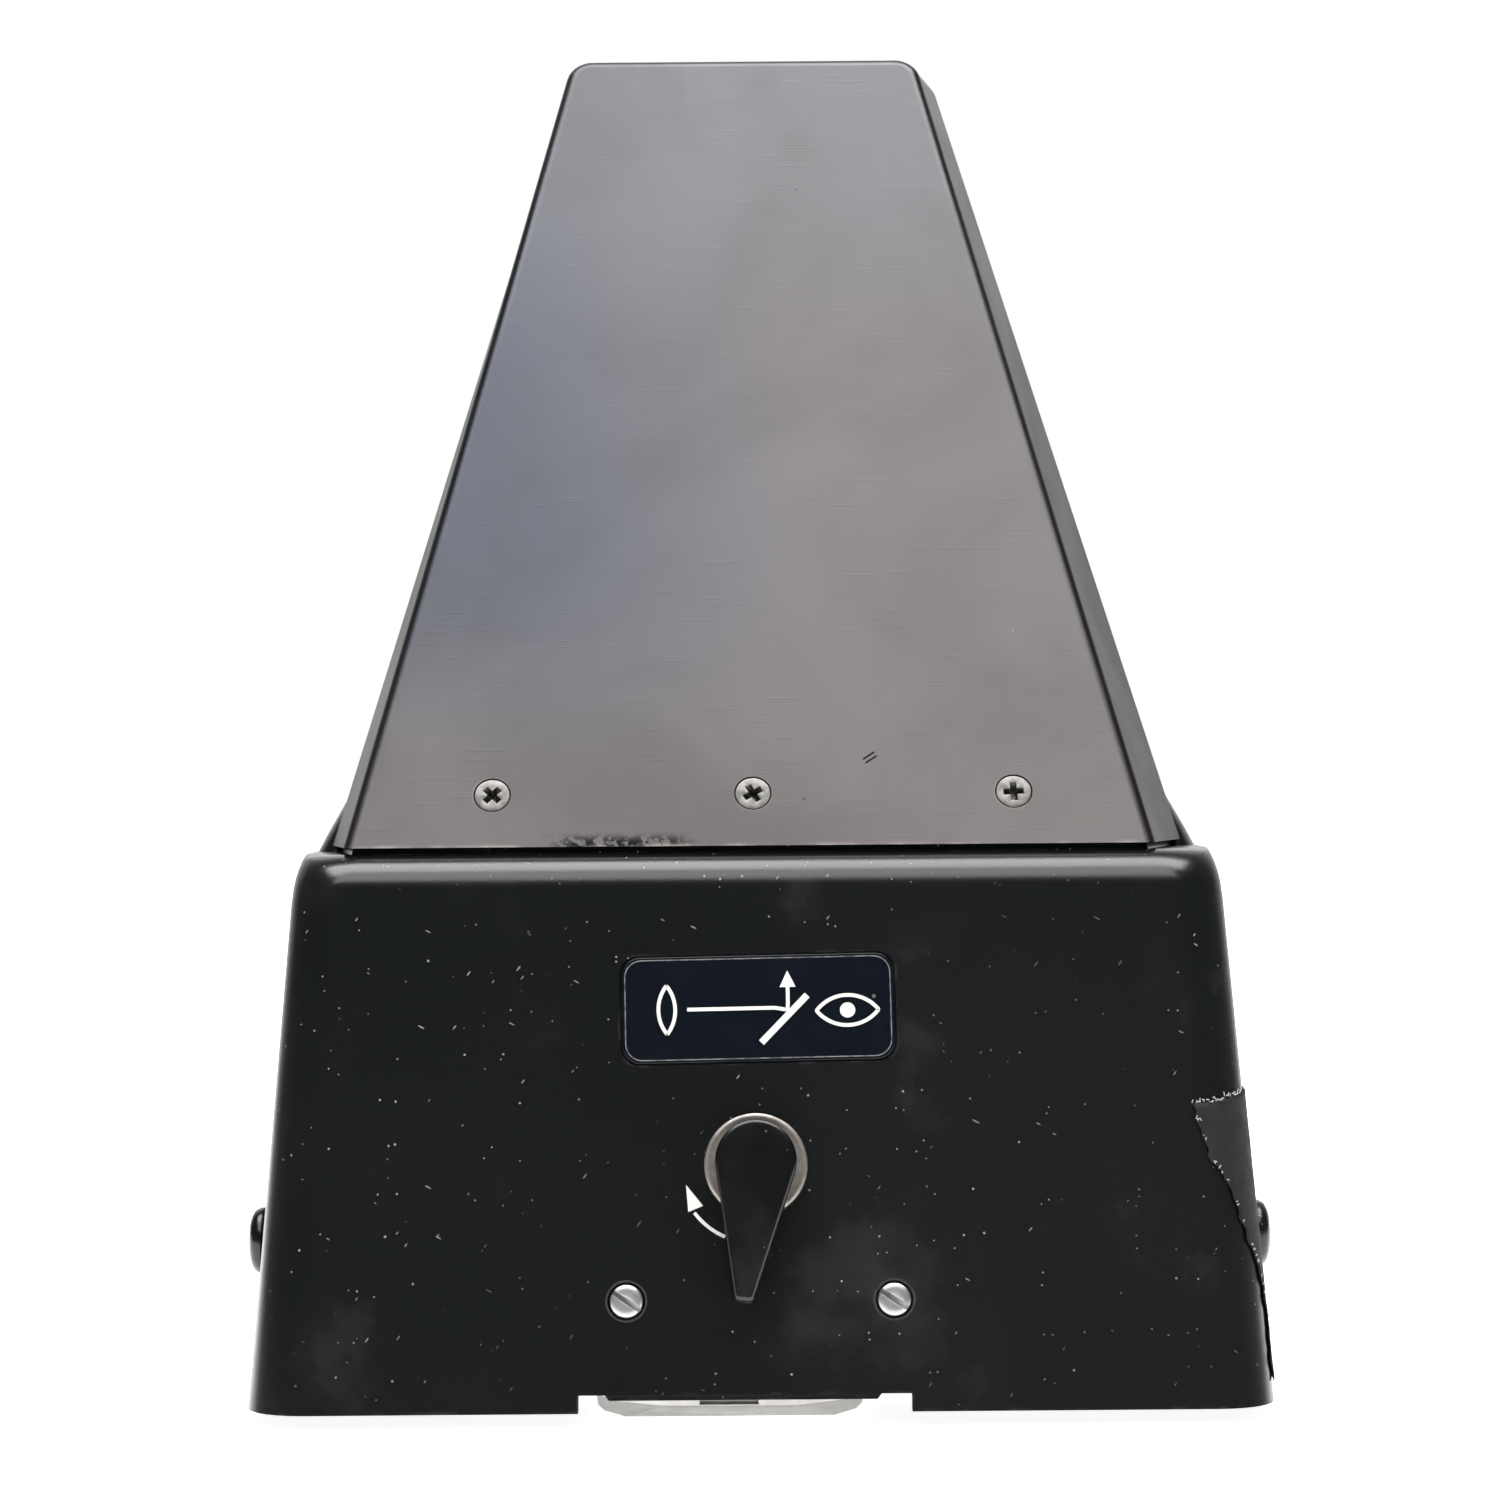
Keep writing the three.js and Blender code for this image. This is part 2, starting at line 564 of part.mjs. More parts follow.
// ---------------------------------------------------------------- latch
// The tongue tapers towards its front, so that it rides over the edge it catches.
function latchPlate() {
  const { left, right, bottom, top, front, back } = LATCH;
  const middle = (left + right) / 2;
  const half = (right - left) / 2;
  const ring = (y, lift, soft) => [
    [-half, top], [-half, lift + 1.9], [-half + soft, lift + 0.9], [-half + 4 * soft, lift],
    [half - 4 * soft, lift], [half - soft, lift + 0.9], [half, lift + 1.9], [half, top],
  ].map(([x, z]) => new THREE.Vector3(middle + x, z, -y));
  const rings = [ring(back, bottom, 1), ring(front + 3.4, bottom, 1), ring(front, bottom + 1.9, 2.4)];
  let body = solid(loft(rings).rotateX(Math.PI / 2));
  body = body.add(solid(box(SLIDE.left, SLIDE.right, SLIDE.front, SLIDE.back, top - 1, SLIDE.top)));
  const pin = camPin();
  const slot = box(pin.x - 3.2, pin.x + 3.2, SLIDE.front - 2, SLIDE.back + 2, pin.z - 2.1, pin.z + 2.1);
  const groove = box(middle - 4.4, middle + 4.2, 0, front + 1.2, bottom + 2.4, bottom + 3.1);
  return skin(cut(body, solid(slot), solid(groove)));
}

// Where the cam's pin crosses the middle of the slide.
function camPin() {
  const inward = (SLIDE.front + SLIDE.back) / 2;
  const pivot = new THREE.Vector3(PIVOT_X, PIVOT_UP, 0).applyMatrix4(frontFace.matrixWorld);
  const axisZ = pivot.z - (inward - pivot.y) * Math.tan(FRONT_LEAN);
  return { x: PIVOT_X - CAM_THROW * Math.cos(CAM_SWING), z: axisZ - CAM_THROW * Math.sin(CAM_SWING) };
}

// The guide block behind the front wall. Its lip reaches down in front of the latch and closes the notch.
function latchGuide() {
  const wallY = (z) => frontSkirtY(z) + WALL / Math.cos(FRONT_LEAN) + 0.4 + GAP;
  const behindWall = (left, right, bottom, top, back) => {
    const side = new THREE.Shape();
    side.moveTo(wallY(bottom), bottom);
    side.lineTo(back, bottom);
    side.lineTo(back, top);
    side.lineTo(wallY(top), top);
    side.closePath();
    return solid(prism(side, right - left).rotateX(Math.PI / 2).rotateZ(Math.PI / 2).translate(left, 0, 0));
  };
  const front = new THREE.Shape();
  front.moveTo(LIP.left + LIP.slant, LIP.bottom);
  front.lineTo(LIP.right - LIP.slant, LIP.bottom);
  front.lineTo(LIP.right, LIP.bottom + 1.2 * LIP.slant);
  front.lineTo(LIP.right, GUIDE.bottom + 1);
  front.lineTo(LIP.left, GUIDE.bottom + 1);
  front.lineTo(LIP.left, LIP.bottom + 1.2 * LIP.slant);
  front.closePath();
  const ends = solid(prism(front, 20).rotateX(Math.PI / 2).translate(0, 20, 0));
  const lip = behindWall(LIP.left - 1, LIP.right + 1, LIP.bottom, GUIDE.bottom + 1, LATCH.front - GAP);
  let body = behindWall(-GUIDE.half, GUIDE.half, GUIDE.bottom, GUIDE.top, GUIDE.back).add(lip.intersect(ends));
  body = cut(body, solid(box(
    SLIDE.left - 0.4,
    SLIDE.right + 0.4,
    SLIDE.front - 0.4,
    SLIDE.back + 0.4,
    0,
    GUIDE.top + 5,
  )));
  for (const x of SPRING_X) body = cut(body, solid(rod(x, SPRING_Y, 0, POCKET_TOP, SPRING.radius + 1, 20)));
  for (const x of [-GUIDE_SCREW_X, GUIDE_SCREW_X]) {
    body = cut(body, solid(rod(x, GUIDE_SCREW_UP, -12, 2, 1.8, 16), frontFace));
  }
  return skin(body);
}

class Helix extends THREE.Curve {
  getPoint(t, target = new THREE.Vector3()) {
    const angle = 2 * Math.PI * SPRING.turns * t;
    const height = THREE.MathUtils.lerp(SPRING.bottom + SPRING.wire / 2, SPRING.top - SPRING.wire / 2, t);
    return target.set(SPRING.radius * Math.cos(angle), SPRING.radius * Math.sin(angle), height);
  }
}

function latchSpring(x) {
  const wire = new THREE.Shape();
  for (let i = 0; i < 5; i += 1) {
    const angle = (2 * Math.PI * i) / 5;
    wire[i ? 'lineTo' : 'moveTo'](0.5 * SPRING.wire * Math.cos(angle), 0.5 * SPRING.wire * Math.sin(angle));
  }
  wire.closePath();
  const path = new Helix();
  const coil = new THREE.ExtrudeGeometry(wire, {
    steps: SPRING.turns * 8, extrudePath: path, bevelEnabled: false,
  });
  return coil.translate(x, SPRING_Y, 0);
}

// ---------------------------------------------------------------- lever
function leverBush() {
  const flange = [[3.3, -6.4], [5.1, -6.4], [5.1, GAP], [BUSH_RADIUS, GAP], [BUSH_RADIUS, 1.2]];
  return turned([...flange, [BUSH_RADIUS - 0.5, 1.6], [3.3, 1.6]], 36);
}

function bushNut() {
  const hex = new THREE.Shape();
  for (let i = 0; i < 6; i += 1) {
    const angle = (Math.PI * i) / 3;
    hex[i ? 'lineTo' : 'moveTo'](8 * Math.cos(angle), 8 * Math.sin(angle));
  }
  hex.closePath();
  const bore = new THREE.Path();
  bore.absarc(0, 0, 5.4, 0, 2 * Math.PI, true);
  hex.holes.push(bore);
  return prism(hex, 2.4).translate(0, 0, -5.9);
}

// A hub with a tapering arm that ends in a small round tip, its upper edges softly broken.
function leverOutline(inset) {
  const hub = LEVER_HUB - inset;
  const tip = LEVER_TIP - inset;
  const reach = LEVER_LENGTH - LEVER_TIP;
  const lean = Math.acos((hub - tip) / reach);
  const shape = new THREE.Shape();
  shape.absarc(0, 0, hub, -Math.PI / 2 + lean, 1.5 * Math.PI - lean, false);
  shape.absarc(0, -reach, tip, 1.5 * Math.PI - lean, 1.5 * Math.PI + lean, false);
  shape.closePath();
  return shape;
}

function releaseLever() {
  const bevel = 0.7;
  const arm = new THREE.ExtrudeGeometry(leverOutline(bevel), {
    depth: 5.2 - bevel, bevelThickness: bevel, bevelSize: bevel, bevelSegments: 1, curveSegments: 12,
  });
  const body = solid(arm.translate(0, 0, 2.1 + bevel));
  const shaftHole = solid(rod(0, 0, 0, 6.4, 2.9, 24));
  return cut(body, shaftHole);
}

function leverShaft() {
  const profile = [[0, -6.3], [2.6, -6.3], [2.6, 6.1], [0, 6.1]];
  return turned(profile, 24);
}

function leverCam() {
  const disc = solid(rod(0, 0, -8.6, -6.6, 4.2, 32));
  const pinX = -CAM_THROW * Math.cos(CAM_SWING);
  const pinY = -CAM_THROW * Math.sin(CAM_SWING);
  return skin(disc.add(solid(rod(pinX, pinY, -13.2, -8, 1.3, 16))));
}

// ---------------------------------------------------------------- front fittings
function guideScrew() {
  const head = [[0, -7.6], [1.5, -7.6], [1.5, -1.1], [2.43, -1.1], [2.43, 0.15], [2.2, 0.4], [0, 0.4]];
  const body = solid(turned(head, 24));
  const slot = solid(box(-3, 3, -0.38, 0.38, -0.35, 1).rotateZ(degToRad(-33)));
  return skin(cut(body, slot));
}

function namePlateBlock(grow, low, high) {
  const halfX = PLATE_SIZE.x / 2 + grow;
  const halfY = PLATE_SIZE.y / 2 + grow;
  const block = prism(roundedRectangle(-halfX, halfX, -halfY, halfY, 2.8), low + high, 6);
  return block.translate(0, 0, -low).rotateZ(PLATE_TILT).translate(0, PLATE_UP, 0);
}

function studHole(side) {
  const hole = rod(0, 0, -8, 4, 2.3, 16).rotateY((side * Math.PI) / 2);
  return hole.translate(side * sideHalf(STUD_Z), STUD_Y, STUD_Z);
}

function sideStud(side) {
  const profile = [[0, -6], [2, -6], [2, 0.9], [STUD_RADIUS, 0.9], [STUD_RADIUS, 2.4]];
  const dome = [[STUD_RADIUS - 0.5, 3.3], [STUD_RADIUS - 1.6, 3.9], [0, STUD_HEIGHT]];
  const stud = turned([...profile, ...dome], 24).rotateY((side * Math.PI) / 2);
  return stud.translate(side * sideHalf(STUD_Z), STUD_Y, STUD_Z);
}

// ---------------------------------------------------------------- eyepiece
const EYE_SCREWS = [90, 210, 330].map((degrees) => {
  const angle = degToRad(degrees);
  return [20.3 * Math.cos(angle), 20.3 * Math.sin(angle)];
});
const SEAT = GAP + REAR_SHEET;                  // outer face of the rear cover

function eyepieceBarrel() {
  const profile = [[15.4, GAP], [23, GAP], [23, 2.6], [22.4, 3.2], [18, 3.2], [18, 15], [15.4, 15]];
  let body = solid(turned(profile, 36).translate(0, 0, SEAT));
  for (const [x, y] of EYE_SCREWS) body = cut(body, solid(rod(x, y, SEAT - 1, SEAT + 5, 1.5, 12)));
  return skin(body);
}

function focusingRing() {
  const ribs = 36;
  const outline = new THREE.Shape();
  for (let i = 0; i < 2 * ribs; i += 1) {
    const radius = i % 2 ? 21.6 : 20.9;
    const angle = (Math.PI * i) / ribs;
    outline[i ? 'lineTo' : 'moveTo'](radius * Math.cos(angle), radius * Math.sin(angle));
  }
  outline.closePath();
  const bore = new THREE.Path();
  bore.absarc(0, 0, 18.3, 0, 2 * Math.PI, true);
  outline.holes.push(bore);
  return prism(outline, 9, 16).translate(0, 0, SEAT + 5.2);
}

function lensTube() {
  const profile = [[12.9, 1], [15, 1], [15, 24], [10.8, 24], [10.8, 22.4], [12.9, 22.4]];
  return turned(profile, 28).translate(0, 0, SEAT);
}

function lens(bottom, edge, bulge, radius) {
  const profile = [[0, bottom - bulge]];
  const steps = 3;
  for (let step = 1; step < steps; step += 1) {
    const r = (radius * step) / steps;
    profile.push([r, bottom - bulge * (1 - (r / radius) ** 2)]);
  }
  profile.push([radius, bottom], [radius, bottom + edge]);
  for (let step = steps - 1; step > 0; step -= 1) {
    const r = (radius * step) / steps;
    profile.push([r, bottom + edge + bulge * (1 - (r / radius) ** 2)]);
  }
  profile.push([0, bottom + edge + bulge]);
  return turned(profile, 24).translate(0, 0, SEAT);
}

function ringBetween(inner, outer, low, high, sides = 24) {
  return turned([[inner, low], [outer, low], [outer, high], [inner, high]], sides).translate(0, 0, SEAT);
}

function eyecup() {
  const inside = [[15.3, 17], [15.3, 24.5], [17.2, 27], [19.4, 34.6]];
  const outside = [[20.2, 35.6], [21, 35], [20.6, 31], [18.8, 26.5], [17.9, 24], [17.9, 17]];
  return turned([...inside, ...outside].reverse(), 28).translate(0, 0, SEAT);
}

// ---------------------------------------------------------------- assembly
add(upright, 'lower_housing', lowerHousing(), BLACK);
add(upright, 'upper_hood', upperHood(), BLACK);
add(upright, 'rear_cover', rearCover(), BLACK);
add(upright, 'mirror_cover', mirrorCover(), COVER_GREY);
add(coverFace, 'mirror', prism(mirrorOutline(16, 139, 8.2), 3).translate(0, 0, -7.9), MIRROR);
add(coverFace, 'mirror_backing_pad', prism(mirrorOutline(22, 135, 11.5), 2.2).translate(0, 0, -4.1), FELT);
for (const [name, v] of [['low', 40], ['high', 112]]) {
  for (const [hand, side] of [['left', -1], ['right', 1]]) {
    const clip = mirrorClip().rotateZ((side * Math.PI) / 2 + side * 0.218);
    const x = side * (FOLD_HALF - FOLD_TAPER * v - 8.6) + FOLD_SHIFT;
    add(coverFace, `mirror_clip_${name}_${hand}`, clip, STEEL).position.set(x, v, 0);
  }
}
COVER_SCREW_X.forEach((x, i) => {
  const turn = degToRad([45, 30, 3][i]);
  const screw = add(coverFace, `cover_screw_${['left', 'middle', 'right'][i]}`, coverScrew(), STEEL);
  screw.position.set(x, COVER_SCREW_UP, 0);
  screw.rotation.z = turn;
});

add(upright, 'base_frame', baseFrame(), STEEL);
add(upright, 'base_light_seal', baseSeal(), FELT);
for (const [hand, side] of [['left', -1], ['right', 1]]) {
  for (const end of ['front', 'back']) {
    const low = FRAME.bottom - 1.5 - GAP;
    const screw = frameScrew(side * FRAME_SCREW.x, FRAME_SCREW[end], low, 3.2, 12, 1.4);
    add(upright, `frame_screw_${end}_${hand}`, screw, STEEL);
  }
  add(upright, `hook_lug_${hand}`, hookLug(side * LUG_X), STEEL);
  const lugScrew = frameScrew(side * LUG_X, FRAME.back - LUG_SCREW, 0.5, 1.9, 6.2, 1);
  add(upright, `lug_screw_${hand}`, lugScrew, STEEL);
  add(upright, `side_stud_${hand}`, sideStud(side), BLACK);
  const screw = add(frontFace, `guide_screw_${hand}`, guideScrew(), STEEL);
  screw.position.set(side * GUIDE_SCREW_X, GUIDE_SCREW_UP, 0);
}

add(upright, 'latch_plate', latchPlate(), STEEL);
add(upright, 'latch_guide', latchGuide(), BLACK);
add(upright, 'latch_spring_left', latchSpring(SPRING_X[0]), STEEL);
add(upright, 'latch_spring_right', latchSpring(SPRING_X[1]), STEEL);

const pivot = new THREE.Group();
pivot.position.set(PIVOT_X, PIVOT_UP, 0);
frontFace.add(pivot);
add(pivot, 'lever_bush', leverBush(), BRASS);
add(pivot, 'bush_nut', bushNut(), BRASS);
add(pivot, 'lever_shaft', leverShaft(), STEEL);
add(pivot, 'lever_cam', leverCam(), STEEL);
add(pivot, 'release_lever', skin(releaseLever()), BLACK).rotation.z = LEVER_REST;
add(frontFace, 'name_plate', namePlateBlock(0, 0.4, 0.15), NAVY);

add(eyeFace, 'eyepiece_barrel', eyepieceBarrel(), BLACK);
EYE_SCREWS.forEach(([x, y], i) => {
  const screw = turned([[0, -2.4], [0.9, -2.4], [0.9, 3.5], [1.7, 3.5], [1.7, 4.3], [1.2, 4.7], [0, 4.7]], 12);
  add(eyeFace, `barrel_screw_${i + 1}`, screw.translate(x, y, SEAT), STEEL);
});
REAR_SCREWS.forEach(([x, y], i) => {
  const screw = turned([[0, -5], [1.1, -5], [1.1, 0.3], [2.3, 0.3], [2.3, 1.2], [1.7, 1.7], [0, 1.7]], 12);
  add(eyeFace, `rear_screw_${i + 1}`, screw.translate(x, y, SEAT), STEEL);
});
add(eyeFace, 'focusing_ring', focusingRing(), BLACK);
add(eyeFace, 'lens_tube', lensTube(), BLACK);
add(eyeFace, 'inner_lens', lens(4.5, 1.6, 2, 12.6), GLASS);
add(eyeFace, 'lens_spacer', ringBetween(10.8, 12.6, 8.6, 17.2), BLACK);
add(eyeFace, 'eye_lens', lens(19.6, 1.6, 1.8, 12.6), GLASS);
add(eyeFace, 'lens_retaining_ring', ringBetween(10.8, 12.6, 2, 3.6), BLACK);
add(eyeFace, 'eyecup', eyecup(), RUBBER);

const bounds = new THREE.Box3().setFromObject(hood, true);
hood.position.set(0, -(bounds.min.y + bounds.max.y) / 2, 0);
hood.updateMatrixWorld(true);

export default hood;
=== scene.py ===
"""Looks for a reflex viewing hood: materials, fine fittings, light and camera round the CAD frame."""

import json
import math
import random

import bmesh
import bpy
from mathutils import Matrix, Vector

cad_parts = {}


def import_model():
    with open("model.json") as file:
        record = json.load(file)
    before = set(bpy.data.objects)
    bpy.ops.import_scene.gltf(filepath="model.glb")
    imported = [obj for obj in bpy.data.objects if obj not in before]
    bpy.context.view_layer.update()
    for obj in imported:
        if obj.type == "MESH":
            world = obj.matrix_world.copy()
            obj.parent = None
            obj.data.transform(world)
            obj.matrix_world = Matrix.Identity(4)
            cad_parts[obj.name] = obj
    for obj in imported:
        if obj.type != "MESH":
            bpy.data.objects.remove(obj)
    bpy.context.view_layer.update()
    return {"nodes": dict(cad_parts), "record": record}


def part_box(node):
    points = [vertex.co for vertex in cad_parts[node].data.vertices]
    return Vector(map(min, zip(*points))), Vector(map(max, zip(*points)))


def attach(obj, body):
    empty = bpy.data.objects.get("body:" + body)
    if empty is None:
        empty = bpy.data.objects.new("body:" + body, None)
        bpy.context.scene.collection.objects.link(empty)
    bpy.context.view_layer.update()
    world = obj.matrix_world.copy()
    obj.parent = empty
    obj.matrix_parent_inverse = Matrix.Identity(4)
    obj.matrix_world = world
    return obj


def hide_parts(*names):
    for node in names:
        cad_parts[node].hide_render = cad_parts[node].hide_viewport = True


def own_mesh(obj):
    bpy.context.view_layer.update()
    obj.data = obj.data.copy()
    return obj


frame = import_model()
MM = 0.001
NODES = frame["nodes"]
random.seed(11)

# ------------------------------------------------------------------ places, worked out from the frame
FRONT_LEAN = math.radians(12)
COVER_LEAN = math.radians(28)
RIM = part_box("lower_housing")[0].z
FRONT_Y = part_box("lower_housing")[0].y
COVER_CUT_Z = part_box("mirror_cover")[0].z


def leaning_frame(origin, lean):
    """Local x across, y up the face and z out of it."""
    rows = [(1, 0, 0), (0, math.sin(lean), math.cos(lean)), (0, -math.cos(lean), math.sin(lean))]
    turn = Matrix(rows).transposed().to_4x4()
    return Matrix.Translation(Vector(origin)) @ turn


FRONT = leaning_frame((0, FRONT_Y, RIM), FRONT_LEAN)
COVER = leaning_frame((0, FRONT_Y + 21 * MM, COVER_CUT_Z), COVER_LEAN)
EYE_CENTRE = Vector((0, FRONT_Y + 118 * MM, 184.4 * MM))
EYE = Matrix.Translation(EYE_CENTRE) @ Matrix.Rotation(-2 * COVER_LEAN, 4, "X")
SEAT = 2.8 * MM                                   # outer face of the rear cover, along the eyepiece axis
PIVOT = (-0.5 * MM, 36.3 * MM)                    # lever pivot on the front face
GUIDE_SCREW = (19.8 * MM, 16.4 * MM)              # across from the middle, and up the front face
COVER_SCREW_UP = 8.95 * MM
BARREL_SCREWS = 20.3 * MM                         # radius of the circle they stand on
REAR_SCREWS = [(-25, -22.5), (25, -22.5), (-36, 24), (36, 24)]   # on the rear cover, in mm
PLATE_UP = 59.9 * MM
PLATE_TILT = math.radians(0.85)


def on(face, x, y, z=0.0, turn=0.0):
    """A place on a face, turned about the face's normal."""
    return face @ Matrix.Translation((x, y, z)) @ Matrix.Rotation(turn, 4, "Z")


# ------------------------------------------------------------------ node graphs
class Graph:
    """A material with a Principled shader and short ways to add nodes."""

    def __init__(self, name, **sockets):
        self.material = bpy.data.materials.new(name)
        self.material.use_nodes = True
        self.tree = self.material.node_tree
        self.shader = self.tree.nodes["Principled BSDF"]
        for socket, value in sockets.items():
            self.shader.inputs[socket.replace("_", " ")].default_value = value
        self.place = self.node("ShaderNodeTexCoord").outputs["Object"]

    def node(self, kind, **settings):
        made = self.tree.nodes.new(kind)
        for key, value in settings.items():
            setattr(made, key, value)
        return made

    def feed(self, socket, value):
        if isinstance(value, bpy.types.NodeSocket):
            self.tree.links.new(value, socket)
        else:
            socket.default_value = value

    def scaled(self, x, y, z, turn=(0, 0, 0)):
        mapping = self.node("ShaderNodeMapping")
        mapping.inputs["Scale"].default_value = (x, y, z)
        mapping.inputs["Rotation"].default_value = turn
        self.feed(mapping.inputs["Vector"], self.place)
        return mapping.outputs["Vector"]

    def stretched(self, length, turn):
        """Coordinates drawn out along x, after a turn about y."""
        mapping = self.node("ShaderNodeMapping", vector_type="TEXTURE")
        mapping.inputs["Scale"].default_value = (length, 1, 1)
        mapping.inputs["Rotation"].default_value = (0, turn, 0)
        self.feed(mapping.inputs["Vector"], self.place)
        return mapping.outputs["Vector"]

    def noise(self, scale, detail=3.0, rough=0.55, where=None, warp=0.0):
        made = self.node("ShaderNodeTexNoise")
        self.feed(made.inputs["Vector"], where or self.place)
        made.inputs["Scale"].default_value = scale
        made.inputs["Detail"].default_value = detail
        made.inputs["Roughness"].default_value = rough
        made.inputs["Distortion"].default_value = warp
        return made.outputs["Fac"]

    def cells(self, scale, where=None):
        made = self.node("ShaderNodeTexVoronoi")
        self.feed(made.inputs["Vector"], where or self.place)
        made.inputs["Scale"].default_value = scale
        return made

    def math(self, kind, a, b=0.0, clamp=False):
        made = self.node("ShaderNodeMath", operation=kind, use_clamp=clamp)
        self.feed(made.inputs[0], a)
        self.feed(made.inputs[1], b)
        return made.outputs[0]

    def span(self, value, low, high, to_low=0.0, to_high=1.0):
        """Value between low and high, carried over to another range and clamped there."""
        made = self.node("ShaderNodeMapRange", interpolation_type="SMOOTHSTEP")
        self.feed(made.inputs["Value"], value)
        ends = {"From Min": low, "From Max": high, "To Min": to_low, "To Max": to_high}
        for socket, number in ends.items():
            made.inputs[socket].default_value = number
        return made.outputs["Result"]

    def mix(self, share, a, b):
        made = self.node("ShaderNodeMix", data_type="RGBA")
        self.feed(made.inputs["Factor"], share)
        self.feed(made.inputs["A"], a)
        self.feed(made.inputs["B"], b)
        return made.outputs["Result"]

    def axis(self, index):
        made = self.node("ShaderNodeSeparateXYZ")
        self.feed(made.inputs[0], self.place)
        return made.outputs[index]

    def edge(self, radius, low=0.02, high=0.2):
        """Where the surface turns within a radius: its edges."""
        bevel = self.node("ShaderNodeBevel", samples=6)
        bevel.inputs["Radius"].default_value = radius
        normal = self.node("ShaderNodeNewGeometry").outputs["Normal"]
        dot = self.node("ShaderNodeVectorMath", operation="DOT_PRODUCT")
        self.feed(dot.inputs[0], bevel.outputs["Normal"])
        self.feed(dot.inputs[1], normal)
        return self.span(self.math("SUBTRACT", 1.0, dot.outputs["Value"]), low, high)

    def specks(self, scale, share, size, where=None):
        """Small round spots in a few of the cells of a random pattern."""
        cell = self.cells(scale, where)
        split = self.node("ShaderNodeSeparateColor")
        self.feed(split.inputs[0], cell.outputs["Color"])
        chosen = self.math("LESS_THAN", split.outputs["Red"], share)
        reach = self.math("MULTIPLY", split.outputs["Green"], size)
        return self.math("MULTIPLY", chosen, self.math("LESS_THAN", cell.outputs["Distance"], reach))

    def bump(self, height, distance, strength=1.0):
        made = self.node("ShaderNodeBump")
        made.inputs["Strength"].default_value = strength
        made.inputs["Distance"].default_value = distance
        self.feed(made.inputs["Height"], height)
        self.feed(self.shader.inputs["Normal"], made.outputs["Normal"])

    def finish(self, colour=None, roughness=None, metallic=None):
        for socket, value in (("Base Color", colour), ("Roughness", roughness), ("Metallic", metallic)):
            if value is not None:
                self.feed(self.shader.inputs[socket], value)
        return self.material


def grey(value, tint=(1, 1, 1)):
    return (value * tint[0], value * tint[1], value * tint[2], 1)


# ------------------------------------------------------------------ materials
def housing_black():
    g = Graph("satin_black_moulding", IOR=1.47)
    cloud = g.noise(16, 4)
    smudge = g.span(g.noise(38, 5, 0.6), 0.56, 0.74)
    dust = g.specks(700, 0.45, 0.13)
    lint = g.specks(620, 0.9, 0.075, g.stretched(7, 0.5))
    fibre = g.specks(620, 0.9, 0.07, g.stretched(7, 2.2))
    marks = g.math("MAXIMUM", dust, g.math("MAXIMUM", lint, fibre))
    marks = g.math("MULTIPLY", marks, g.span(g.noise(24, 2), 0.42, 0.62, 0.2, 0.9))
    base = g.mix(cloud, grey(0.003, (0.8, 1.06, 1.12)), grey(0.005, (0.88, 1.04, 1.08)))
    base = g.mix(g.math("MULTIPLY", smudge, 0.25), base, grey(0.02, (0.95, 1, 1.08)))
    rubbed = g.edge(0.0012, 0.02, 0.35)
    rubbed = g.math("MULTIPLY", rubbed, g.span(g.noise(210, 4), 0.5, 0.66))
    base = g.mix(g.math("MULTIPLY", rubbed, 0.4), base, grey(0.075, (1.05, 1, 0.94)))
    base = g.mix(marks, base, grey(0.24, (1.04, 1.02, 0.96)))
    rough = g.math("ADD", g.span(g.noise(9, 4), 0.3, 0.7, 0.21, 0.27), g.math("MULTIPLY", smudge, 0.08))
    grain = g.math("ADD", g.noise(2600, 2), g.math("MULTIPLY", g.noise(160, 3), 0.7))
    g.bump(grain, 0.00003, 0.35)
    return g.finish(base, rough)


def nick(g, across, up):
    """Two short slanting strokes right of the cover's middle screw."""
    x = g.math("SUBTRACT", across, 0.0175)
    z = g.math("SUBTRACT", up, COVER_CUT_Z + 0.0132)
    cosine, sine = math.cos(math.radians(32)), math.sin(math.radians(32))
    along = g.math("ADD", g.math("MULTIPLY", x, cosine), g.math("MULTIPLY", z, sine))
    aside = g.math("SUBTRACT", g.math("MULTIPLY", z, cosine), g.math("MULTIPLY", x, sine))
    apart = g.math("ABSOLUTE", g.math("SUBTRACT", g.math("ABSOLUTE", aside), 0.00034))
    length = g.span(g.math("ABSOLUTE", along), 0.0009, 0.0012, 1.0, 0.0)
    return g.math("MULTIPLY", length, g.span(apart, 0.0001, 0.0002, 1.0, 0.0))


def painted_reflection_tone(g, across, up):
    """Painted reflection: bluish on the left, neutral on the right, warmer low down and paler at the top.
    """
    cool = (0.0412, 0.0448, 0.0542, 1)
    warm = (0.0655, 0.0622, 0.0655, 1)
    side = g.math("ADD", across, g.math("MULTIPLY", g.math("SUBTRACT", up, 0.15), 0.22))
    base = g.mix(g.span(side, -0.046, 0.012), cool, warm)
    base = g.mix(g.span(up, 0.135, 0.088, 0.0, 0.85), base, (0.0665, 0.061, 0.0605, 1))
    return g.mix(g.span(up, 0.16, 0.215, 0.0, 0.7), base, (0.0625, 0.0645, 0.0678, 1))


def flaked_paint(g, across, up):
    """Flaked paint along the cover's cut edge, left of the middle."""
    near_edge = g.span(up, COVER_CUT_Z + 0.0005, COVER_CUT_Z + 0.0024, 1.0, 0.0)
    from_left = g.span(across, -0.034, -0.027)
    to_right = g.span(across, -0.014, -0.008, 1.0, 0.0)
    torn = g.span(g.noise(780, 4, 0.7), 0.47, 0.51)
    return g.math("MULTIPLY", g.math("MULTIPLY", near_edge, g.math("MULTIPLY", from_left, to_right)), torn)


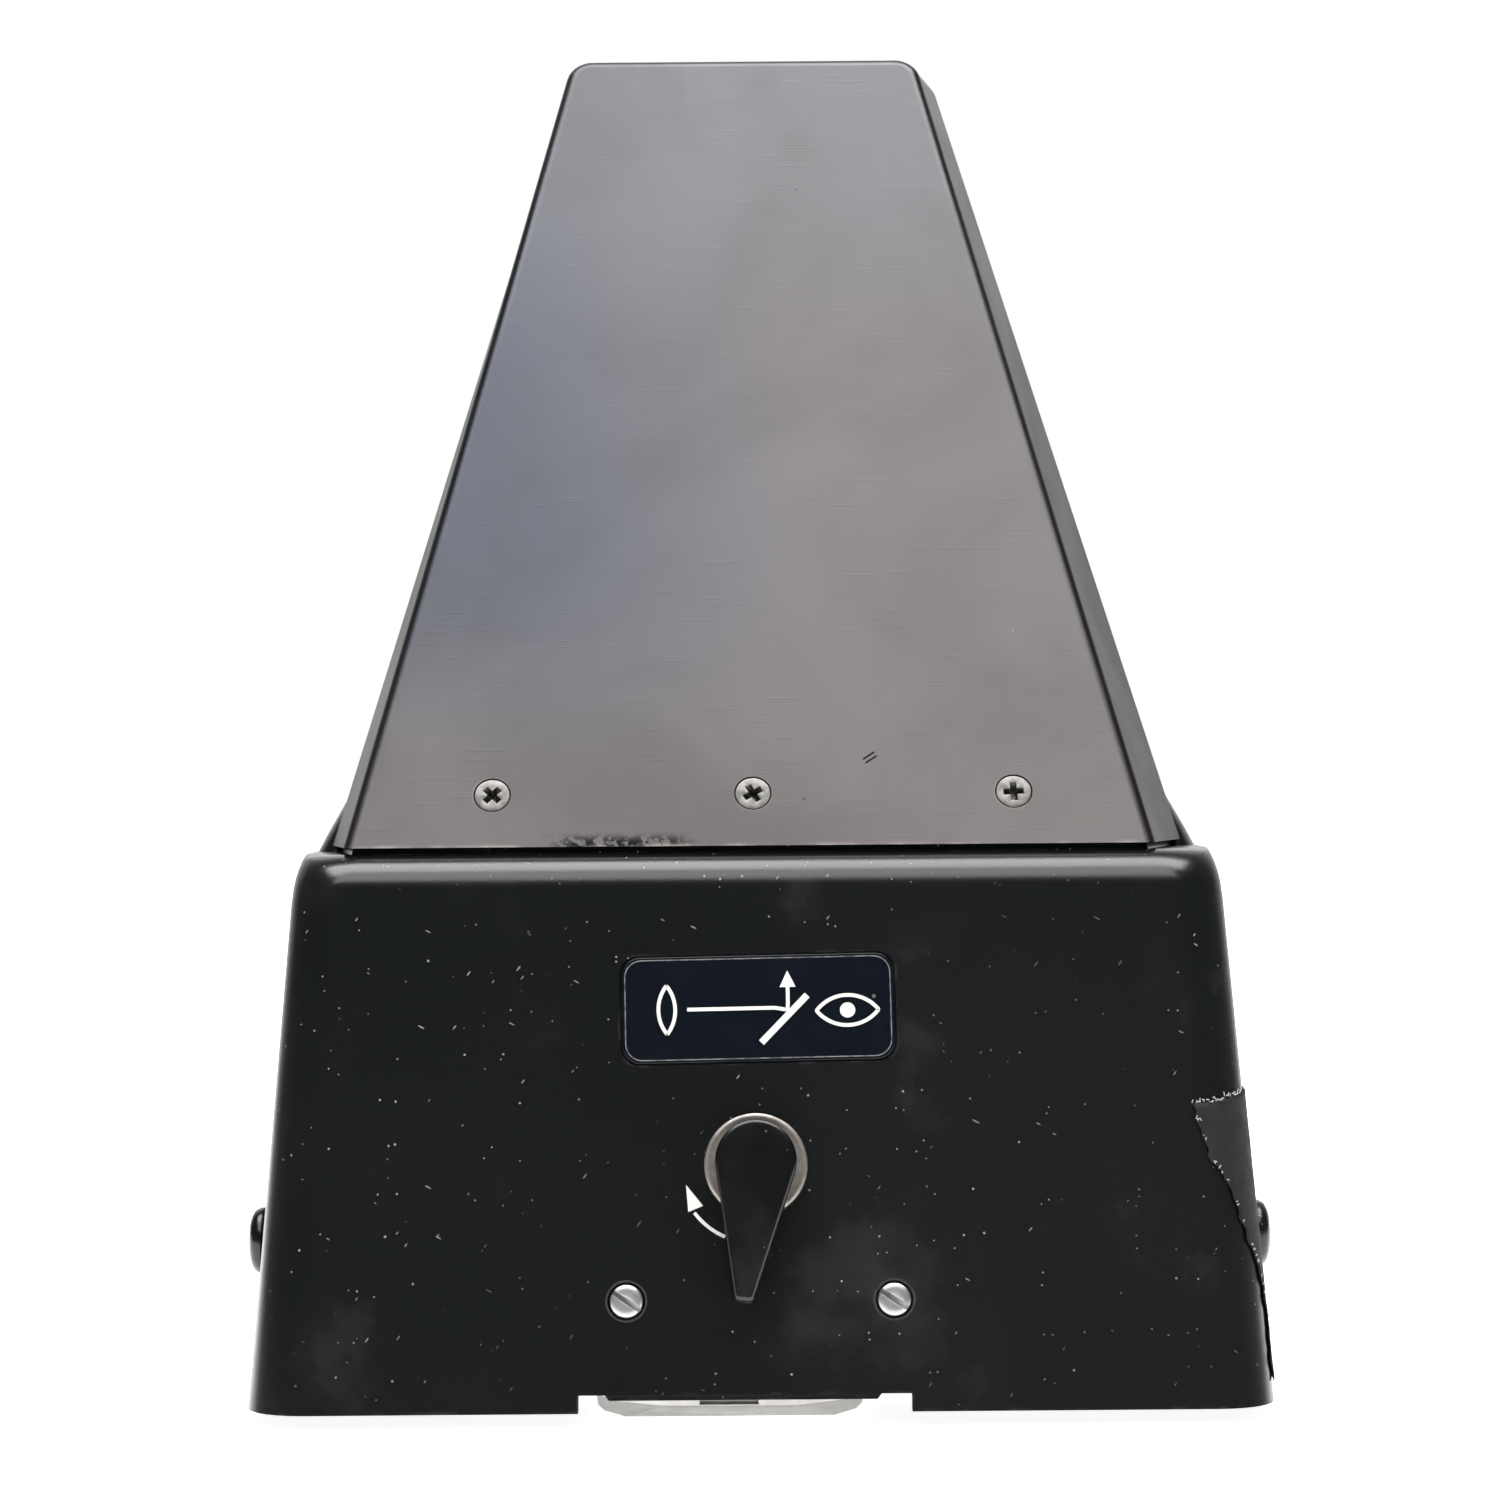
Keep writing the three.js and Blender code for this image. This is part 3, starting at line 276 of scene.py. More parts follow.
def painted_flange_shade(g):
    """Where a surface turns away from the cover's main face: its flanges. The mask for their painted shade.
    """
    facing = g.node("ShaderNodeVectorMath", operation="DOT_PRODUCT")
    g.feed(facing.inputs[0], g.node("ShaderNodeTexCoord").outputs["Normal"])
    facing.inputs[1].default_value = (0, -math.cos(COVER_LEAN), math.sin(COVER_LEAN))
    return g.span(facing.outputs["Value"], 0.45, 0.85, 1.0, 0.0)


def cover_grey():
    """Bronzed sheet: its colour tints what it reflects, it carries a painted reflection gradient, and its
    flanges are painted black as shade.
    """
    g = Graph("satin_grey_sheet")
    across = g.axis("X")
    up = g.axis("Z")
    # painted reflection: a colour gradient over the face stands in for the lamps and room it mirrors
    base = painted_reflection_tone(g, across, up)
    streaks = g.noise(1.0, 5, 0.6, g.scaled(420, 12, 12))
    base = g.mix(g.span(streaks, 0.4, 0.7, 0.0, 0.05), base, grey(0.06, (0.98, 1, 1.03)))
    cloud = g.noise(22, 5, 0.6, warp=0.6)
    base = g.mix(g.span(cloud, 0.4, 0.75, 0.0, 0.25), base, grey(0.034, (1.0, 0.98, 1.0)))
    base = g.mix(flaked_paint(g, across, up), base, grey(0.006))
    base = g.mix(nick(g, across, up), base, grey(0.008))
    base = g.mix(g.math("MULTIPLY", g.specks(150, 0.12, 0.04), 0.7), base, grey(0.02))
    dust = g.specks(210, 0.05, 0.05, g.scaled(1.3, 1, 0.8, (0.2, 0.4, 0)))
    base = g.mix(g.math("MULTIPLY", dust, 0.6), base, grey(0.12))
    rub = g.math("MULTIPLY", g.edge(0.0011, 0.04, 0.4), g.span(g.noise(150, 4), 0.42, 0.62))
    base = g.mix(g.math("MULTIPLY", rub, 0.6), base, grey(0.2, (1.05, 1, 0.93)))
    # painted shade: the flanges, facing away from the main face, are painted near black
    base = g.mix(painted_flange_shade(g), base, grey(0.006))
    rough = g.math("ADD", g.span(cloud, 0.3, 0.7, 0.33, 0.4), g.span(streaks, 0.3, 0.7, -0.004, 0.004))
    scratch = g.noise(1.0, 2, 0.5, g.scaled(90, 2300, 2300, (0.5, 0.0, 0.3)))
    grain = g.math("ADD", g.noise(1900, 3), g.span(scratch, 0.62, 0.72))
    g.bump(grain, 0.00002, 0.35)
    return g.finish(base, rough, 1.0)


def metal(name, value, tint, rough, worn=0.4, ring=False, spread=0.08):
    """A ground or, with ring, turned metal with darker grime in patches and brighter edges."""
    g = Graph(name)
    if ring:
        wave = g.node("ShaderNodeTexWave", wave_type="RINGS", rings_direction="Z", wave_profile="SIN")
        g.feed(wave.inputs["Vector"], g.place)
        wave.inputs["Scale"].default_value = 1500
        wave.inputs["Distortion"].default_value = 1.5
        lines = wave.outputs["Fac"]
    else:
        lines = g.noise(1.0, 4, 0.6, g.scaled(160, 2600, 2600))
    patch = g.noise(420, 5, 0.6)
    base = g.mix(g.span(patch, 0.35, 0.7), grey(value, tint), grey(value * (1 - worn), tint))
    rubbed = g.math("MULTIPLY", g.edge(0.0004, 0.03, 0.35), 0.6)
    base = g.mix(rubbed, base, grey(min(1, value * 1.45)))
    patchy = g.span(patch, 0.3, 0.7, rough, rough + spread)
    rough_value = g.math("ADD", patchy, g.math("MULTIPLY", lines, 0.05))
    g.bump(lines, 0.00002, 0.3)
    return g.finish(base, rough_value, 1.0)


def lever_black():
    g = Graph("lever_black_moulding", IOR=1.48)
    rub = g.edge(0.00045, 0.03, 0.32)
    base = g.mix(g.noise(300, 4), grey(0.002, (0.95, 1, 1.1)), grey(0.0035, (0.95, 1, 1.1)))
    base = g.mix(g.math("MULTIPLY", rub, g.span(g.noise(900, 3), 0.55, 0.75, 0.0, 0.5)), base, grey(0.05))
    specks = g.specks(900, 0.05, 0.2)
    base = g.mix(g.math("MULTIPLY", specks, 0.35), base, grey(0.15))
    g.bump(g.noise(3200, 3), 0.00003, 0.4)
    return g.finish(base, g.span(g.noise(210, 4), 0.3, 0.7, 0.2, 0.28))


def plate_navy():
    g = Graph("navy_enamel", IOR=1.36)
    base = g.mix(g.noise(240, 5), grey(0.003, (0.6, 0.95, 1.8)), grey(0.005, (0.7, 0.98, 1.7)))
    base = g.mix(g.math("MULTIPLY", g.specks(520, 0.05, 0.2), 0.4), base, grey(0.2))
    g.bump(g.noise(1500, 3), 0.00001, 0.3)
    return g.finish(base, g.span(g.noise(90, 4), 0.3, 0.7, 0.18, 0.25))


def printed_white():
    g = Graph("worn_white_print")
    worn = g.span(g.noise(1500, 4, 0.7), 0.56, 0.7)
    base = g.mix(g.math("MULTIPLY", worn, 0.45), grey(0.62, (1.0, 0.98, 0.93)), grey(0.3, (1, 0.97, 0.9)))
    g.bump(g.noise(2400, 2), 0.00001, 0.3)
    return g.finish(base, g.span(worn, 0, 1, 0.45, 0.6))


def plate_line():
    g = Graph("worn_plate_edge_line")
    base = g.mix(g.span(g.noise(700, 4, 0.7), 0.42, 0.62), grey(0.16), grey(0.03, (0.9, 1, 1.3)))
    return g.finish(base, g.span(g.noise(500), 0.3, 0.7, 0.4, 0.55))


def cloth_tape():
    g = Graph("black_cloth_tape", IOR=1.35)
    weave_a = g.node("ShaderNodeTexWave", bands_direction="X", wave_profile="SIN")
    weave_b = g.node("ShaderNodeTexWave", bands_direction="Z", wave_profile="SIN")
    for weave in (weave_a, weave_b):
        g.feed(weave.inputs["Vector"], g.place)
        weave.inputs["Scale"].default_value = 620
        weave.inputs["Distortion"].default_value = 0.6
    threads = g.math("MAXIMUM", weave_a.outputs["Fac"], weave_b.outputs["Fac"])
    crease = g.noise(120, 5, 0.65, warp=1.2)
    showing = g.math("MULTIPLY", threads, g.span(g.noise(260, 3), 0.35, 0.65))
    base = g.mix(showing, grey(0.004), grey(0.009, (1, 1, 0.98)))
    base = g.mix(g.span(crease, 0.5, 0.72, 0.0, 0.4), base, grey(0.02, (1, 0.98, 0.94)))
    lint = g.specks(420, 0.12, 0.22)
    base = g.mix(g.math("MULTIPLY", lint, 0.45), base, grey(0.3))
    g.bump(g.math("ADD", g.math("MULTIPLY", threads, 0.4), g.math("MULTIPLY", crease, 2.0)), 0.00012, 0.5)
    return g.finish(base, g.span(crease, 0.3, 0.7, 0.55, 0.8))


def thread_pale():
    g = Graph("frayed_cotton_thread", Sheen_Weight=0.3)
    base = g.mix(g.noise(1800, 3), grey(0.28, (1, 0.97, 0.9)), grey(0.5, (1, 0.98, 0.93)))
    g.bump(g.noise(5000, 2), 0.00003, 0.6)
    return g.finish(base, g.span(g.noise(900), 0.3, 0.7, 0.8, 0.95))


def rubber():
    g = Graph("matt_rubber", Sheen_Weight=0.05)
    bloom = g.noise(70, 5, 0.6)
    base = g.mix(bloom, grey(0.009), grey(0.02, (1, 0.99, 0.97)))
    g.bump(g.noise(1800, 3), 0.00006, 0.5)
    return g.finish(base, g.span(bloom, 0.3, 0.7, 0.62, 0.8))


def felt():
    g = Graph("black_felt", Sheen_Weight=0.3)
    fuzz = g.noise(3400, 4, 0.7)
    g.bump(fuzz, 0.0003, 0.8)
    return g.finish(g.mix(fuzz, grey(0.004), grey(0.016)), g.span(fuzz, 0.2, 0.8, 0.9, 1.0))


def glass():
    g = Graph("coated_glass", Transmission_Weight=1.0, IOR=1.52, Coat_Weight=0.3)
    film = g.noise(160, 4)
    base = g.mix(film, grey(0.93, (0.97, 1, 0.99)), grey(0.9, (1, 0.98, 1)))
    return g.finish(base, g.span(film, 0.4, 0.8, 0.0, 0.03))


def mirror():
    g = Graph("front_silvered_mirror")
    haze = g.span(g.noise(60, 5), 0.5, 0.75)
    base = g.mix(haze, grey(0.9), grey(0.82, (1, 0.99, 0.97)))
    return g.finish(base, g.math("MULTIPLY", haze, 0.06), 1.0)


def floor_white():
    g = Graph("pale_floor", Emission_Color=(1, 1, 1, 1), Emission_Strength=0.92)
    return g.finish(g.mix(g.noise(3, 3), grey(0.9), grey(0.92)), g.span(g.noise(5), 0.3, 0.7, 0.8, 0.9))


LOOKS = {
    "housing_black": housing_black(), "cover_grey": cover_grey(), "mirror": mirror(), "felt": felt(),
    "steel": metal("ground_steel", 0.5, (1, 1, 1.01), 0.3),
    "latch_steel": metal("bright_plated_steel", 0.4, (1, 0.98, 0.95), 0.26, 0.1),
    "screw_steel": metal("dull_nickel_screw", 0.18, (1.03, 1, 0.96), 0.42, 0.5, ring=True),
    "bush_metal": metal("worn_nickel_bush", 0.3, (1.08, 1, 0.92), 0.4, 0.35, ring=True),
    "lever_black": lever_black(), "plate_navy": plate_navy(), "rubber": rubber(), "glass": glass(),
}
SLOT_OF = {part["node"]: part["material_slot"] for part in frame["record"]["subparts"]}
EXTRA = {
    "print": printed_white(), "line": plate_line(), "tape": cloth_tape(), "thread": thread_pale(),
    "bright_screw": metal("bright_nickel_screw", 0.46, (1, 1, 1), 0.34, 0.1, ring=True, spread=0.03),
    "seat": metal("screw_seat_edge", 0.07, (1, 1, 1), 0.42, 0.4),
}


# ------------------------------------------------------------------ carried-over CAD nodes
def soften(node, width, angle=32, segments=2):
    """Welds a CAD node's facets, rounds its edges and shades it smoothly, all by modifiers."""
    weld = node.modifiers.new("weld", "WELD")
    weld.merge_threshold = 2e-6
    planes = node.modifiers.new("planes", "DECIMATE")
    planes.decimate_type = "DISSOLVE"
    planes.angle_limit = math.radians(0.4)
    if width > 0:
        rounds = node.modifiers.new("rounds", "BEVEL")
        rounds.width = width
        rounds.segments = segments
        rounds.limit_method = "ANGLE"
        rounds.angle_limit = math.radians(angle)
    normals = node.modifiers.new("normals", "WEIGHTED_NORMAL")
    normals.mode = "FACE_AREA"
    normals.weight = 60
    mesh = node.data
    if "custom_normal" in mesh.attributes:
        mesh.attributes.remove(mesh.attributes["custom_normal"])
    mesh.polygons.foreach_set("use_smooth", [True] * len(mesh.polygons))
    if "sharp_edge" in mesh.attributes:
        mesh.attributes.remove(mesh.attributes["sharp_edge"])


ROUNDING = {
    "lower_housing": 0.45, "upper_hood": 0.25, "rear_cover": 0.25, "mirror_cover": 0.16, "base_frame": 0.3,
    "name_plate": 0.12, "latch_guide": 0.3, "mirror": 0.3,
    "hook_lug_left": 0.25, "hook_lug_right": 0.25, "lever_shaft": 0.2, "lever_cam": 0.2, "bush_nut": 0.3,
    "latch_plate": 0.22,
}


def dress_cad():
    for name, node in NODES.items():
        node.data.materials.clear()
        node.data.materials.append(LOOKS[SLOT_OF[name]])
        soften(node, ROUNDING.get(name, 0.0) * MM)


# ------------------------------------------------------------------ mesh pieces
def mesh_from(name, bm, sharp=32):
    bmesh.ops.recalc_face_normals(bm, faces=bm.faces)
    mesh = bpy.data.meshes.new(name)
    bm.to_mesh(mesh)
    bm.free()
    mesh.shade_smooth()
    mesh.set_sharp_from_angle(angle=math.radians(sharp))
    return mesh


def piece(name, mesh, place, body, slot, look=None, replaces=()):
    obj = bpy.data.objects.new(name, mesh)
    bpy.context.scene.collection.objects.link(obj)
    obj.matrix_world = place
    mesh.materials.clear()
    mesh.materials.append(look or LOOKS[slot])
    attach(obj, body)
    if replaces:
        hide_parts(*replaces)
    return obj


def lathe(profile, segments=96, ribs=None):
    """Turns [radius, height] corners in mm about z. A profile off the axis closes on itself."""
    bm = bmesh.new()
    rings = []
    for radius, height in profile:
        if radius == 0:
            rings.append([bm.verts.new((0, 0, height * MM))])
            continue
        ring = []
        for i in range(segments):
            angle = 2 * math.pi * i / segments
            reach = radius * MM + (ribs(angle, radius) * MM if ribs else 0)
            ring.append(bm.verts.new((reach * math.cos(angle), reach * math.sin(angle), height * MM)))
        rings.append(ring)
    if profile[0][0] > 0:
        rings.append(rings[0])
    for low, high in zip(rings, rings[1:]):
        for i in range(segments):
            j = (i + 1) % segments
            corners = [low[i % len(low)], low[j % len(low)], high[j % len(high)], high[i % len(high)]]
            unique = list(dict.fromkeys(corners))
            if len(unique) > 2:
                bm.faces.new(unique)
    return bm


def plate(outline, low, high, bevel=0.0, steps=3):
    """A flat solid from an outline in mm, its upper rim rounded by pulling rings in."""
    bm = bmesh.new()
    rings = [[bm.verts.new((x * MM, y * MM, low * MM)) for x, y in outline]]
    levels = [(0.0, high - bevel)] if bevel else [(0.0, high)]
    for step in range(1, steps + 1 if bevel else 1):
        angle = math.pi / 2 * step / steps
        levels.append((bevel * (1 - math.cos(angle)), high - bevel * (1 - math.sin(angle))))
    for inset, height in levels:
        pulled = inset_outline(outline, inset)
        rings.append([bm.verts.new((x * MM, y * MM, height * MM)) for x, y in pulled])
    count = len(outline)
    for a, b in zip(rings, rings[1:]):
        for i in range(count):
            bm.faces.new((a[i], a[(i + 1) % count], b[(i + 1) % count], b[i]))
    bm.faces.new(reversed(rings[0]))
    bm.faces.new(rings[-1])
    return bm


def inset_outline(outline, inset):
    """An anticlockwise outline pushed inwards."""
    pulled = []
    for i, (x, y) in enumerate(outline):
        before = Vector(outline[i - 1])
        after = Vector(outline[(i + 1) % len(outline)])
        here = Vector((x, y))
        first = (here - before).normalized()
        second = (after - here).normalized()
        normal = Vector((-first.y - second.y, first.x + second.x))
        normal = normal.normalized() / max(0.3, math.sqrt(max(0.0, (1 + first.dot(second)) / 2)))
        pulled.append((x + normal.x * inset, y + normal.y * inset))
    return pulled


def carved(name, body_bm, cutter_bms, bevel=0.06):
    """A body with cutters taken out of it and its edges broken."""
    body = bpy.data.objects.new(name + ".body", mesh_from(name, body_bm))
    bpy.context.scene.collection.objects.link(body)
    helpers = [body]
    for i, cutter_bm in enumerate(cutter_bms):
        cutter = bpy.data.objects.new(f"{name}.cutter{i}", mesh_from(name + ".cutter", cutter_bm))
        bpy.context.scene.collection.objects.link(cutter)
        cutting = body.modifiers.new("cut", "BOOLEAN")
        cutting.object = cutter
        cutting.solver = "EXACT"
        helpers.append(cutter)
    if bevel:
        breaking = body.modifiers.new("break", "BEVEL")
        breaking.width = bevel * MM
        breaking.segments = 2
        breaking.limit_method = "ANGLE"
        breaking.angle_limit = math.radians(34)
    bpy.context.view_layer.update()
    shaped = body.evaluated_get(bpy.context.evaluated_depsgraph_get())
    mesh = bpy.data.meshes.new_from_object(shaped)
    mesh.name = name
    for helper in helpers:
        bpy.data.objects.remove(helper)
    mesh.shade_smooth()
    mesh.set_sharp_from_angle(angle=math.radians(40))
    return mesh


def bar(length, width, low, high, taper=1.0):
    """A straight cutter, narrower at its lower end by taper."""
    bm = bmesh.new()
    rings = []
    for height, share in ((low, taper), (high, 1.0)):
        x, y = length / 2 * share, width / 2 * share
        corners = ((-x, -y), (x, -y), (x, y), (-x, y))
        rings.append([bm.verts.new((a * MM, b * MM, height * MM)) for a, b in corners])
    for i in range(4):
        j = (i + 1) % 4
        bm.faces.new((rings[0][i], rings[0][j], rings[1][j], rings[1][i]))
    bm.faces.new(reversed(rings[0]))
    bm.faces.new(rings[1])
    return bm


def turned_bar(degrees, *size, **more):
    bm = bar(*size, **more)
    bmesh.ops.rotate(bm, verts=bm.verts, matrix=Matrix.Rotation(math.radians(degrees), 3, "Z"))
    return bm


def arc(cx, cy, radius, start, end, steps):
    """Points along an arc, in degrees."""
    angles = [math.radians(start + (end - start) * i / steps) for i in range(steps + 1)]
    return [(cx + radius * math.cos(a), cy + radius * math.sin(a)) for a in angles]


def rounded(half_x, half_y, radius, steps=8):
    corners = [(1, 1, 0), (-1, 1, 90), (-1, -1, 180), (1, -1, 270)]
    points = []
    for sx, sy, start in corners:
        points += arc(sx * (half_x - radius), sy * (half_y - radius), radius, start, start + 90, steps)
    return points


# ------------------------------------------------------------------ front fittings
def lever():
    hub, tip, reach = 6.0, 1.5, 19.1
    lean = math.degrees(math.acos((hub - tip) / reach))
    outline = arc(0, 0, hub, -90 + lean, 270 - lean, 40)
    corner = 0.75
    flat = tip * 0.98
    outline += arc(-flat + corner, -reach - tip + corner, corner, 180 + lean * 0.1, 270, 5)
    outline += arc(flat - corner, -reach - tip + corner, corner, 270, 360 - lean * 0.1, 5)
    body = plate(outline, 2.1, 8.0, 0.55, 4)
    bore = lathe([[0, 1.9], [2.9, 1.9], [2.9, 6.4], [0, 6.4]], 48)
    mesh = carved("lever_moulding", body, [bore], 0.0)
    place = on(FRONT, *PIVOT, 0, math.radians(-5.3))
    piece("lever_moulding", mesh, place, "lever", "lever_black", None, ["release_lever"])


def bush():
    profile = [
        [3.3, -6.4], [5.1, -6.4], [5.1, 0.3], [7.55, 0.3], [7.7, 0.45], [7.7, 1.2], [7.62, 1.42],
        [7.42, 1.55], [7.15, 1.6], [6.85, 1.52], [6.6, 1.5], [3.6, 1.5], [3.3, 1.3],
    ]
    mesh = mesh_from("turned_bush", lathe(profile, 128))
    piece("turned_bush", mesh, on(FRONT, *PIVOT), "hood", "bush_metal", None, ["lever_bush"])


def cross_recess(size, wing, low, high):
    return [turned_bar(turn, 2 * size, wing, low, high, taper=0.55) for turn in (0, 90)]


def cover_screws():
    for name, turn in (("left", 45), ("middle", 30), ("right", 3)):
        node = f"cover_screw_{name}"
        low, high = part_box(node)
        x = (low.x + high.x) / 2
        head = lathe([[0, -8], [1.1, -7.4], [1.1, -1.5], [2.62, -0.3], [2.7, -0.2], [2.66, -0.1],
                      [2.5, -0.05], [1.9, -0.02], [0, -0.02]], 64)
        mesh = carved(f"{node}_cross", head, cross_recess(1.6, 1.05, -2.2, 0.1), 0.05)
        place = on(COVER, x, COVER_SCREW_UP, 0, math.radians(turn))
        piece(f"{node}_cross", mesh, place, "hood", "screw_steel", None, [node])


def guide_screws():
    for name, side in (("left", -1), ("right", 1)):
        node = f"guide_screw_{name}"
        head = lathe([[0, -7.6], [1.5, -7.6], [1.5, -1.1], [2.4, -1.1], [2.43, -1.0], [2.43, 0.0],
                      [2.36, 0.2], [2.15, 0.33], [1.6, 0.4], [0, 0.42]], 64)
        mesh = carved(f"{node}_slotted", head, [bar(6, 0.78, -0.95, 1)], 0.05)
        x, y = GUIDE_SCREW
        place = on(FRONT, side * x, y, 0, math.radians(-33))
        piece(f"{node}_slotted", mesh, place, "hood", "screw_steel", EXTRA["bright_screw"], [node])
        rim = lathe([[2.83, 0.04], [3.1, 0.04], [3.1, -0.3], [2.83, -0.9]], 64)
        mesh = mesh_from(f"{node}_seat", rim)
        piece(f"{node}_seat", mesh, on(FRONT, side * x, y), "hood", "steel", EXTRA["seat"])


def print_strip(name, path, width, height, closed=False):
    """A thin printed stroke along points in mm."""
    bm = bmesh.new()
    left, right = [], []
    count = len(path)
    for i, point in enumerate(path):
        here = Vector(point)
        before = Vector(path[i - 1]) if i or closed else here
        after = Vector(path[(i + 1) % count]) if i < count - 1 or closed else here
        along = (after - before).normalized()
        across = Vector((-along.y, along.x)) * width / 2
        left.append(here + across)
        right.append(here - across)
    rings = []
    for a, b in zip(left, right):
        corners = [(b, 0.0), (a, 0.0), (a, height), (b, height)]
        rings.append([bm.verts.new((p.x * MM, p.y * MM, h * MM)) for p, h in corners])
    pairs = list(zip(rings, rings[1:])) + ([(rings[-1], rings[0])] if closed else [])
    for first, second in pairs:
        for i in range(4):
            j = (i + 1) % 4
            bm.faces.new((first[i], first[j], second[j], second[i]))
    if not closed:
        bm.faces.new(reversed(rings[0]))
        bm.faces.new(rings[-1])
    return mesh_from(name, bm, 30)


def direction_arrow():
    path = arc(0, 0, 11.5, 246, 217, 14)
    place = on(FRONT, *PIVOT, 0.02 * MM)
    line = print_strip("turn_arrow_line", path, 0.5, 0.05)
    piece("turn_arrow_line", line, place, "hood", "housing_black", EXTRA["print"])
    head = mesh_from("turn_arrow_head", plate([(-10.4, -2.8), (-10.1, -6.8), (-7.9, -5.9)], 0.0, 0.05))
    piece("turn_arrow_head", head, place, "hood", "housing_black", EXTRA["print"])


def name_plate_print():
    """A fine border and a generic light-path sign: lens, slanted mirror, bent ray and eye."""
    place = on(FRONT, 0, PLATE_UP, 0.16 * MM) @ Matrix.Rotation(PLATE_TILT, 4, "Z")
    border = print_strip("plate_border", rounded(19.9, 7.55, 2.5, 6), 0.16, 0.03, True)
    piece("plate_border", border, place, "hood", "plate_navy", EXTRA["line"])
    lens = arc(-3.2, 0, 6.0, -38, 38, 10) + arc(6.26, 0, 6.0, 142, 218, 10)
    lens = [(x - 15.2, y) for x, y in lens]
    lids = arc(13.4, -4.2, 5.9, 38, 142, 14) + arc(13.4, 3.04, 5.9, 218, 322, 14)
    strokes = {
        "plate_lens": (lens, 0.55, True),
        "plate_mirror": ([(0.4, -5.2), (7.4, 1.8)], 1.0, False),
        "plate_ray_in": ([(-10.6, 0.0), (-8, 0.0), (2.5, 0.0), (4.1, -0.3)], 0.55, False),
        "plate_ray_out": ([(4.4, -0.6), (4.5, 0.8), (4.5, 3.1)], 0.55, False),
        "plate_eye_lids": (lids, 0.55, True),
    }
    for name, (path, width, closed) in strokes.items():
        stroke = print_strip(name, path, width, 0.04, closed)
        piece(name, stroke, place, "hood", "plate_navy", EXTRA["print"])
    shapes = {
        "plate_ray_tip": [(4.5, 5.6), (3.3, 3.1), (5.7, 3.1)],
        "plate_eye_pupil": arc(13.4, -0.58, 1.15, 0, 345, 22),
    }
    for name, outline in shapes.items():
        mesh = mesh_from(name, plate(outline, 0.0, 0.04))
        piece(name, mesh, place, "hood", "plate_navy", EXTRA["print"])


# ------------------------------------------------------------------ cloth tape on the right side
TAPE_EDGE = [                                     # x and z of its torn left edge, from the top down, in mm
    (64.4, 46.5), (65.7, 42.3), (66.9, 38.4), (69.6, 34.6), (71.0, 30.4), (72.1, 26.8), (73.7, 22.9),
    (74.4, 20.1), (75.3, 14.5), (75.5, 8.6), (76.0, 4.6),
]
TAPE_LOW, TAPE_HIGH = 5.2, 46.2
TAPE_RIGHT = 96                                   # where it ends on the side, measured round the corner
SKIRT_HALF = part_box("lower_housing")[1].x / MM
SKIRT_SLOPE = 0.0702                              # how much each side leans in for its height
SKIRT_CORNER = 9.0


def corner_start(z):
    """How far across the front the rounded corner starts at a height."""
    return SKIRT_HALF - SKIRT_SLOPE * (z - RIM / MM) - SKIRT_CORNER


def skirt_point(across, z, lift):
    """A point on the skirt: across runs over the front, round the right corner and along the side."""
    front = FRONT_Y / MM + (z - RIM / MM) * math.tan(FRONT_LEAN)
    radius = SKIRT_CORNER
    start = corner_start(z)
    quarter = math.pi / 2 * radius
    if across <= start:
        return Vector((across, front - lift, z))
    if across <= start + quarter:
        angle = (across - start) / radius
        reach = radius + lift
        return Vector((start + reach * math.sin(angle), front + radius - reach * math.cos(angle), z))
    return Vector((start + radius + lift, front + radius + across - start - quarter, z))


def tape_point(row, share):
    """A point of the tape at a share of its height and of its width. Its top edge is frayed."""
    z = TAPE_LOW + (TAPE_HIGH - TAPE_LOW) * row
    left = edge_at(z) + 0.25 * math.sin(z * 2.1) + 0.16 * math.sin(z * 5.3)
    right = TAPE_RIGHT + 0.3 * math.sin(z * 1.7)
    across = left + (right - left) * share
    fray = (0.2 * math.sin(across * 3.1) + 0.15 * math.sin(across * 7.7)) * row ** 6
    rise = 1.3 * min(1.0, share * 3.2) + 0.3 * share + fray
    ripple = 0.03 * math.sin(z * 0.9 + across * 0.5) * math.sin(across * 0.4)
    lift = 0.13 + ripple + 0.08 * max(0.0, 1 - share * 14)
    return skirt_point(across, z + rise * row ** 2, lift) * MM


def tape():
    """A torn strip of cloth tape that hugs the right front corner."""
    bm = bmesh.new()
    rows, columns = 44, 40
    grid = []
    for row in range(rows + 1):
        line = [tape_point(row / rows, column / columns) for column in range(columns + 1)]
        grid.append([bm.verts.new(point) for point in line])
    for low, high in zip(grid, grid[1:]):
        for column in range(columns):
            bm.faces.new((low[column], low[column + 1], high[column + 1], high[column]))
    mesh = mesh_from("cloth_tape", bm, 60)
    obj = piece("cloth_tape", mesh, Matrix.Identity(4), "hood", "felt", EXTRA["tape"])
    thick = obj.modifiers.new("thickness", "SOLIDIFY")
    thick.thickness = 0.22 * MM
    thick.offset = 1.0
    tape_fringe()


def edge_at(z):
    """The tape's left edge at a height, measured over the front and round the corner."""
    points = sorted(TAPE_EDGE, key=lambda point: point[1])
    x = points[0][0] if z < points[0][1] else points[-1][0]
    for (x0, z0), (x1, z1) in zip(points, points[1:]):
        if z0 <= z <= z1:
            x = x0 + (x1 - x0) * (z - z0) / (z1 - z0)
    start = corner_start(z)
    return x if x < start else start + SKIRT_CORNER * math.asin(min(1.0, (x - start) / SKIRT_CORNER))


